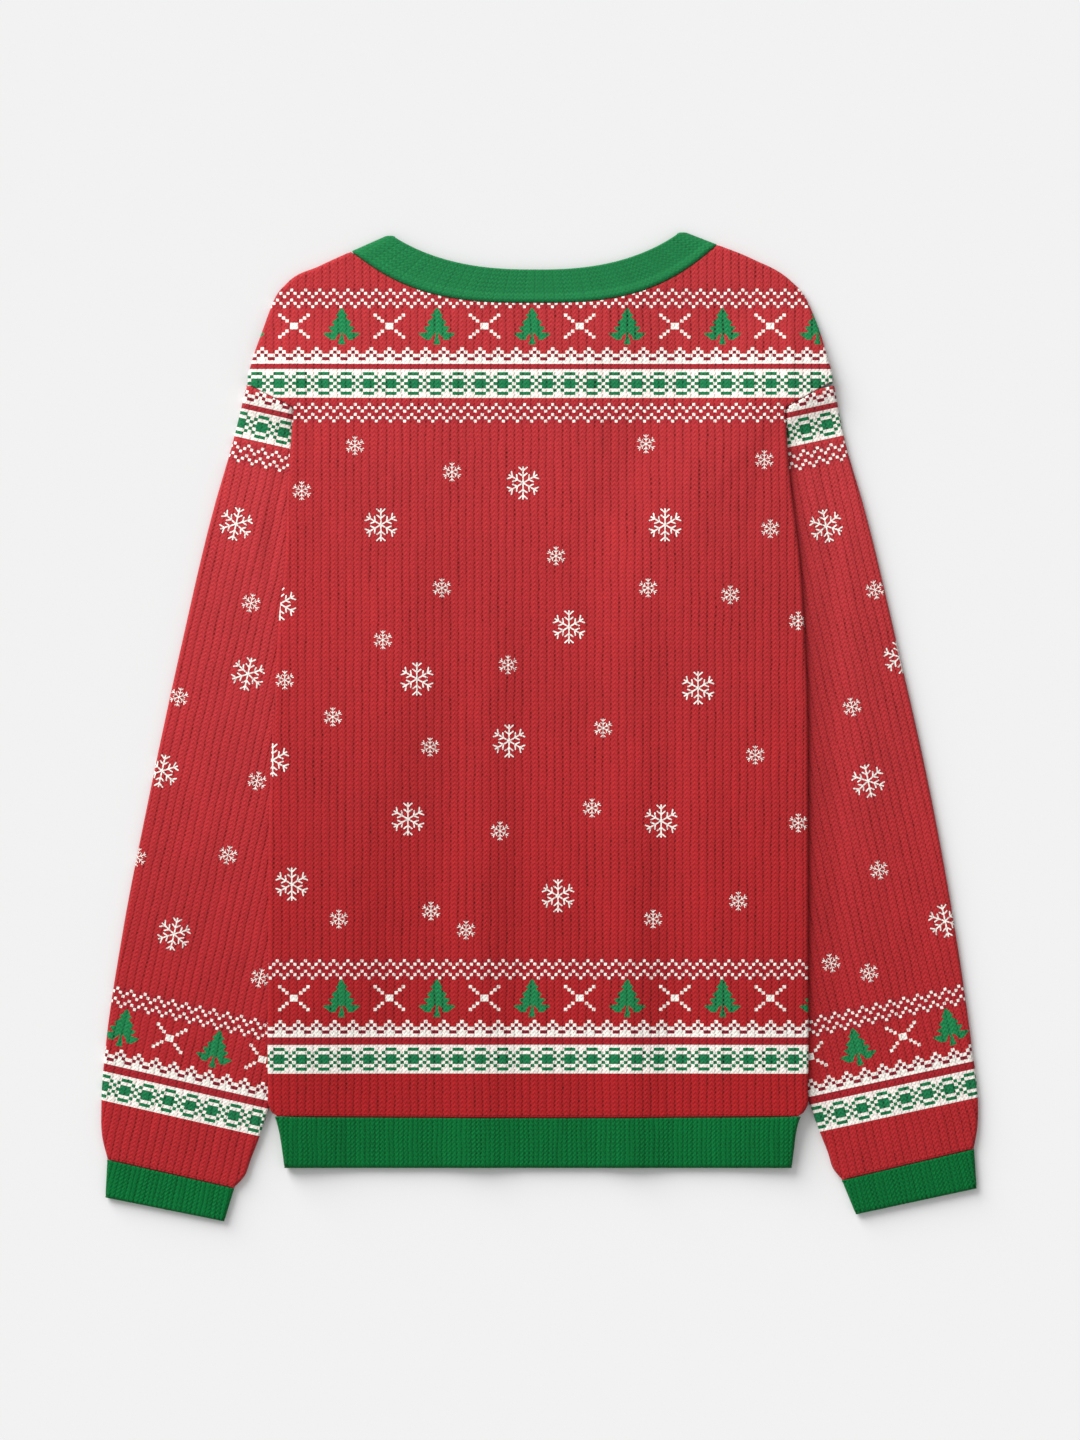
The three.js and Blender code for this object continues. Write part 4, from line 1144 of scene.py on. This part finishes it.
def knit_finish(name, dyes, pitch, hole_shade, groove_shade, gloss, phases=None, relief=0.8):
    """The cloth's colour at the hem and at the shoulders, where light is painted on as a lighter colour."""
    material = bpy.data.materials.new(name)
    material.use_nodes = True
    tree = material.node_tree
    shader = tree.nodes["Principled BSDF"]
    flat = add(tree, "ShaderNodeUVMap", uv_map="chart")
    chart = add(tree, VECTOR_MATH, flat, None, None, 1 / MM, operation="SCALE")
    height, painted_shade = knit_surface(tree, chart, pitch, hole_shade, groove_shade)
    place = add(tree, "ShaderNodeTexCoord", out=3)
    up = add(tree, "ShaderNodeSeparateXYZ", place).node.outputs[1]
    # Painted light: the colour runs from the hem colour up to a lighter one at the shoulders
    painted_light_up = add(tree, "ShaderNodeMapRange", up, -0.25, 0.3, 0.0, 1.0)
    mixed = add(tree, "ShaderNodeMix", painted_light_up, data_type="RGBA").node
    mixed.inputs[6].default_value, mixed.inputs[7].default_value = colour(dyes[0]), colour(dyes[1])
    cloth = mixed.outputs[2]
    if phases:
        feeds = [chart] + [float(phases[key]) for key in ("Upper", "Lower", *PHASES)]
        bands = add(tree, "ShaderNodeGroup", node_tree=BANDS).node
        for socket, value in zip(bands.inputs, feeds):
            if isinstance(value, float):
                socket.default_value = value
            else:
                tree.links.new(value, socket)
        flake = add(tree, "ShaderNodeGroup", node_tree=SNOWFLAKE).node
        tree.links.new(add(tree, "ShaderNodeUVMap", uv_map="flake"), flake.inputs[0])
        white = add(tree, MATH, bands.outputs["White"], flake.outputs["White"], operation="MAXIMUM")
        # Painted shade next to the print: the border, the laces, the thin line and round the snowflakes
        print_shade = add(tree, MATH, bands.outputs["Print shade"], flake.outputs["Shade"], operation="MAXIMUM")
        shown = add(tree, MATH, white, -WHITE_HIDES, 1.0, operation="MULTIPLY_ADD")
        painted_shade = add(tree, MATH, painted_shade, shown, operation="MULTIPLY")
        printed = (
            (print_shade, PRINT_SHADE_RED), (bands.outputs["Green"], CHAIN_GREEN), (bands.outputs["Fir"], FIR_GREEN),
            (white, OFF_WHITE),
        )
        for mask, dye in printed:
            mixed = add(tree, "ShaderNodeMix", mask, data_type="RGBA").node
            tree.links.new(cloth, mixed.inputs[6])
            mixed.inputs[7].default_value = colour(dye)
            cloth = mixed.outputs[2]
    cloud = add(tree, "ShaderNodeTexNoise", place, None, 9.0, 3.0, 0.6)
    speck = add(tree, "ShaderNodeTexNoise", chart, None, 0.9, 2.0, 0.6)
    streak = add(tree, VECTOR_MATH, chart, (0.3, 0.03, 0), operation="MULTIPLY")
    streak = add(tree, "ShaderNodeTexNoise", streak, None, 1.0, 2.0, 0.6)
    shade = add(tree, "ShaderNodeMapRange", cloud, 0.3, 0.7, 0.95, 1.05)
    for grain, least, most in ((speck, 0.82, 1.18), (streak, 0.92, 1.08)):
        grain = add(tree, "ShaderNodeMapRange", grain, 0.25, 0.75, least, most)
        shade = add(tree, MATH, shade, grain, operation="MULTIPLY")
    cloth = add(tree, VECTOR_MATH, cloth, None, None, shade, operation="SCALE")
    painted_shade_factor = add(tree, VECTOR_MATH, SHADE_DEEPENS, None, None, painted_shade, operation="SCALE")
    painted_shade_factor = add(tree, VECTOR_MATH, (1.0, 1.0, 1.0), painted_shade_factor, operation="SUBTRACT")
    cloth = add(tree, VECTOR_MATH, cloth, painted_shade_factor, operation="MULTIPLY")
    tree.links.new(cloth, shader.inputs["Base Color"])
    fibre = add(tree, "ShaderNodeTexNoise", chart, None, 2.6, 3.0, 0.7)
    height = add(tree, MATH, fibre, 0.16, height, operation="MULTIPLY_ADD")
    bump = add(tree, "ShaderNodeBump")
    bump.node.inputs["Strength"].default_value = relief
    bump.node.inputs["Distance"].default_value = MM
    tree.links.new(height, bump.node.inputs["Height"])
    tree.links.new(bump, shader.inputs["Normal"])
    shader.inputs["Roughness"].default_value = ROUGHNESS
    shader.inputs["Specular IOR Level"].default_value = gloss
    shader.inputs["Sheen Weight"].default_value = SHEEN
    shader.inputs["Sheen Roughness"].default_value = 0.5
    return material


# %% [markdown]
# The pattern was printed on each piece before sewing, so it starts at its own place on each. The phases
# are the heights of the two bands and the middles of their repeats, in mm on the piece's own chart.

# %% Finishes of the pieces
BODY_PHASES = {
    "Upper": 245.6, "Lower": -259.6, "Tree": -5.2, "Border": -3.3, "Chain": 6.3, "Lace": 4.8,
    "Lower lace": -0.3, "Upper shift": 0.0,
}
LEFT_PHASES = {
    "Upper": 160.8, "Lower": -345.5, "Tree": -252.9, "Border": -250.2, "Chain": -140.8, "Lace": -252.9,
    "Lower lace": -258.3, "Upper shift": 5.8,
}
RIGHT_PHASES = {
    "Upper": 164.1, "Lower": -341.1, "Tree": 180.9, "Border": 264.4, "Chain": 242.1, "Lace": 180.9,
    "Lower lace": 247.7, "Upper shift": 0.0,
}
body_knit = knit_finish("red knit, body", BODY_REDS_TO_PAINTED_LIGHT, RIB_PITCH, 0.5, 0.1, 0.22, BODY_PHASES)
sleeve_knit = {
    "left": knit_finish("red knit, left sleeve", SLEEVE_REDS_TO_PAINTED_LIGHT, RIB_PITCH, 0.42, 0.1, 0.22, LEFT_PHASES),
    "right": knit_finish("red knit, right sleeve", SLEEVE_REDS_TO_PAINTED_LIGHT, RIB_PITCH, 0.42, 0.1, 0.22, RIGHT_PHASES),
}
rib_knit = knit_finish("green rib knit", (HEM_GREEN, HEM_GREEN), WELT_PITCH / 2, 0.06, 0.1, 0.06)
# The collar is the rib knit with its green painted lighter, for the light that it catches
collar_knit = knit_finish(
    "green rib knit, painted lighter", (COLLAR_GREEN_PAINTED_LIGHTER, COLLAR_GREEN_PAINTED_LIGHTER), WELT_PITCH, 0.0, 0.02, 0.2, relief=0.35,
)
print("materials:", len(bpy.data.materials))

# %% [markdown]
# ## Seam stitches
# The seams are closed with a line of small stitches: above the hem, above each cuff and along the
# collar's roll. Stitches repeat along a path, so a node tree lays them: it takes a path, sets points at
# an even spacing, puts one short rounded stitch on each and turns it along the path. Each stitch differs
# a little in length, from a fixed seed.

# %% Stitches laid by Geometry Nodes
STITCH_SPACING, STITCH_LONG, STITCH_THICK = 3.6, 2.7, 0.55
STITCH_SEED = 7
STITCH_UNEVEN = (0.85, 0.9, 0.9), (1.12, 1.1, 1.1)


def stitch_tree():
    tree = bpy.data.node_groups.new("seam stitches", "GeometryNodeTree")
    kinds = (
        ("Path", "NodeSocketGeometry"), ("Spacing", FLOAT), ("Long", FLOAT), ("Thick", FLOAT),
        ("Seed", "NodeSocketInt"), ("Thread", "NodeSocketMaterial"),
    )
    for label, kind in kinds:
        tree.interface.new_socket(label, in_out="INPUT", socket_type=kind)
    tree.interface.new_socket("Stitches", in_out="OUTPUT", socket_type="NodeSocketGeometry")
    given = tree.nodes.new("NodeGroupInput").outputs
    line = add(tree, "GeometryNodeMeshToCurve", given["Path"])
    line = add(tree, "GeometryNodeResampleCurve", line, mode="LENGTH")
    tree.links.new(given["Spacing"], line.node.inputs["Length"])
    ahead = add(tree, "GeometryNodeInputTangent")
    turned = add(tree, "FunctionNodeAlignRotationToVector", axis="X")
    tree.links.new(ahead, turned.node.inputs["Vector"])
    size = add(tree, "ShaderNodeCombineXYZ", given["Long"], given["Thick"], given["Thick"])
    least, most = STITCH_UNEVEN
    uneven = add(tree, "FunctionNodeRandomValue", least, most, data_type="FLOAT_VECTOR")
    tree.links.new(given["Seed"], uneven.node.inputs["Seed"])
    size = add(tree, VECTOR_MATH, size, uneven, operation="MULTIPLY")
    ball = add(tree, "GeometryNodeMeshIcoSphere", 0.5, 2)
    ball = add(tree, "GeometryNodeSetShadeSmooth", ball)
    laid = add(tree, "GeometryNodeInstanceOnPoints", line)
    for label, value in (("Instance", ball), ("Rotation", turned), ("Scale", size)):
        tree.links.new(value, laid.node.inputs[label])
    real = add(tree, "GeometryNodeRealizeInstances", laid)
    finished = add(tree, "GeometryNodeSetMaterial", real)
    tree.links.new(given["Thread"], finished.node.inputs["Material"])
    tree.links.new(finished, tree.nodes.new("NodeGroupOutput").inputs[0])
    return tree


STITCHES = stitch_tree()


# %% Thread
def thread_finish(name, dye):
    """A twisted polyester thread: smoother and brighter than the yarn, with fine slanted plies."""
    material = bpy.data.materials.new(name)
    material.use_nodes = True
    tree = material.node_tree
    shader = tree.nodes["Principled BSDF"]
    place = add(tree, "ShaderNodeTexCoord", out=3)
    ply = add(tree, "ShaderNodeTexWave", place, 420.0, bands_direction="DIAGONAL", out=1)
    shade = add(tree, "ShaderNodeMapRange", ply, 0.0, 1.0, 0.78, 1.08)
    cloth = add(tree, VECTOR_MATH, colour(dye)[:3], None, None, shade, operation="SCALE")
    tree.links.new(cloth, shader.inputs["Base Color"])
    shader.inputs["Roughness"].default_value = 0.55
    shader.inputs["Specular IOR Level"].default_value = 0.3
    return material


# %% From a path to a plain mesh
def lay_stitches(name, paths, thread):
    """paths are rows of points in mm; the result is one plain mesh."""
    points, edges = [], []
    for row in paths:
        first = len(points)
        points += ((np.asarray(row) + (*SHIFT, 0)) * MM).tolist()
        edges += [(k, k + 1) for k in range(first, first + len(row) - 1)]
    carrier_mesh = bpy.data.meshes.new(name + "_path")
    carrier_mesh.from_pydata(points, edges, [])
    carrier = bpy.data.objects.new(name + "_path", carrier_mesh)
    bpy.context.scene.collection.objects.link(carrier)
    modifier = carrier.modifiers.new("stitches", "NODES")
    modifier.node_group = STITCHES
    items = STITCHES.interface.items_tree
    sockets = {item.name: item.identifier for item in items if item.in_out == "INPUT"}
    given = (
        ("Spacing", STITCH_SPACING * MM), ("Long", STITCH_LONG * MM), ("Thick", STITCH_THICK * MM),
        ("Seed", STITCH_SEED), ("Thread", thread),
    )
    for label, value in given:
        modifier[sockets[label]] = value
    evaluated = carrier.evaluated_get(bpy.context.evaluated_depsgraph_get())
    mesh = bpy.data.meshes.new_from_object(evaluated)
    bpy.data.objects.remove(carrier)
    thing = bpy.data.objects.new(name, mesh)
    bpy.context.scene.collection.objects.link(thing)
    print(f"{name}: {len(mesh.polygons)} faces")
    return thing


# %% The seams' paths
def on_cloth(plan, height):
    plan = np.asarray(plan, float)
    return np.column_stack([plan, height(plan[:, 0], plan[:, 1]) + 0.1])


FROM_SEAM = 2.3
share = np.linspace(0, 1, 101)[:, None]
across = np.linspace(-188, 187, 120)
seam_paths = [on_cloth(np.column_stack([across, hem_line(across) + FROM_SEAM]), back_outer)]
for side in ("left", "right"):
    start, end = points_of(SLEEVE_OUTER, side)[0], points_of(SLEEVE_INNER, side)[0]
    above = start + (end - start) * (0.05 + 0.9 * share) + (0, FROM_SEAM)
    seam_paths.append(on_cloth(above, sleeve_top))
roll_line = []
for out in np.linspace(-0.97, 0.97, 140):
    seam_point, free_point = collar_width(np.array(out), "back_seam", "back_free")
    plan = seam_point + (free_point - seam_point) * COLLAR_ROLL_SHARE
    roll_line.append((*plan, PRESSED))
red_thread = thread_finish("red polyester thread", "#8E1016")
green_thread = thread_finish("green polyester thread", "#0A5C31")
seam_stitches = lay_stitches("seam_stitches", seam_paths, red_thread)
collar_stitches = lay_stitches("collar_stitches", [roll_line], green_thread)

# %% [markdown]
# ## Cloth on its solids
# Each shell rides on the body, takes its finish and stands for its solid, which is hidden. Its row also gives
# the sheet that it was cut from: its width and length before sewing, and the area of its cut.

# %% Declarations
pieces = [
    (back, "back_panel", "patterned_knit", (0.438, 0.651), 0.223, body_knit),
    (front, "front_panel", "patterned_knit", (0.438, 0.651), 0.238, body_knit),
    (sleeves["left"], "left_sleeve", "patterned_knit", (0.275, 0.61), 0.14, sleeve_knit["left"]),
    (sleeves["right"], "right_sleeve", "patterned_knit", (0.275, 0.61), 0.14, sleeve_knit["right"]),
    (hem, "hem_band", "rib_knit", (0.785, 0.039), 0.0305, rib_knit),
    (cuffs["left"], "left_cuff", "rib_knit", (0.2, 0.028), 0.0055, rib_knit),
    (cuffs["right"], "right_cuff", "rib_knit", (0.2, 0.028), 0.0055, rib_knit),
    (collar_cloth, "neck_band", "rib_knit", (0.62, 0.028), 0.0155, collar_knit),
]
for thing, node, slot, flat, area, finish in pieces:
    thing.data.materials.append(finish)
    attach(thing, "root")
    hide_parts(node)
for thing, slot in ((seam_stitches, "patterned_knit"), (collar_stitches, "rib_knit")):
    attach(thing, "root")

# %% [markdown]
# ## Floor, light and camera
# The garment lies on pale paper. A broad soft sun from the upper left gives the ribs their relief and lays a
# soft shadow at the lower right, and an even sky fills the rest. A lamp above the yoke brightens the upper
# part of the cloth, and light linking keeps it off the paper. The camera looks straight down with a very long
# lens, so that raised cloth doesn't shift sideways in the picture.

# %% Stage
paper = bpy.data.materials.new("pale paper")
paper.use_nodes = True
paper.node_tree.nodes["Principled BSDF"].inputs["Base Color"].default_value = colour("#F0F0F0")
paper.node_tree.nodes["Principled BSDF"].inputs["Roughness"].default_value = 1.0
paper.node_tree.nodes["Principled BSDF"].inputs["Specular IOR Level"].default_value = 0.0
bpy.ops.mesh.primitive_plane_add(size=12, location=(0, 0, -0.0003))  # just clear of the underside
floor = bpy.context.object
floor.data.materials.append(paper)

# %% Light
sun = bpy.data.objects.new("sun", bpy.data.lights.new("sun", "SUN"))
sun.data.energy = 3.8
sun.data.angle = math.radians(44)
sun.rotation_euler = Vector((0.72, -0.92, -0.54)).to_track_quat("-Z", "Y").to_euler()
bpy.context.scene.collection.objects.link(sun)
lamp = bpy.data.objects.new("lamp", bpy.data.lights.new("lamp", "AREA"))
lamp.data.size = 0.6
lamp.data.energy = 5.5
lamp.location = (-0.3, 0.6, 0.85)
lamp.rotation_euler = (-Vector(lamp.location)).to_track_quat("-Z", "Y").to_euler()
bpy.context.scene.collection.objects.link(lamp)
unlit = bpy.data.collections.new("not lit by the lamp")
unlit.objects.link(floor)
lamp.light_linking.receiver_collection = unlit
unlit.collection_objects[0].light_linking.link_state = "EXCLUDE"
world = bpy.data.worlds.new("sky")
bpy.context.scene.world = world
world.use_nodes = True
world.node_tree.nodes["Background"].inputs["Color"].default_value = colour("#FFFFFF")
world.node_tree.nodes["Background"].inputs["Strength"].default_value = 0.51

# %% Camera
PHOTO_MIDDLE = (0.0005, 0.0037)
LENS, SENSOR, SEEN_HIGH = 240.0, 36.0, 1.077
camera = bpy.data.objects.new("camera", bpy.data.cameras.new("camera"))
camera.data.lens = LENS
camera.data.sensor_width = SENSOR
camera.location = (*PHOTO_MIDDLE, SEEN_HIGH * LENS / SENSOR + 0.005)
bpy.context.scene.collection.objects.link(camera)
bpy.context.scene.camera = camera
bpy.context.scene.view_settings.view_transform = "Standard"
print("camera:", [round(c, 3) for c in camera.location], "m, seeing", SEEN_HIGH, "m from top to bottom")
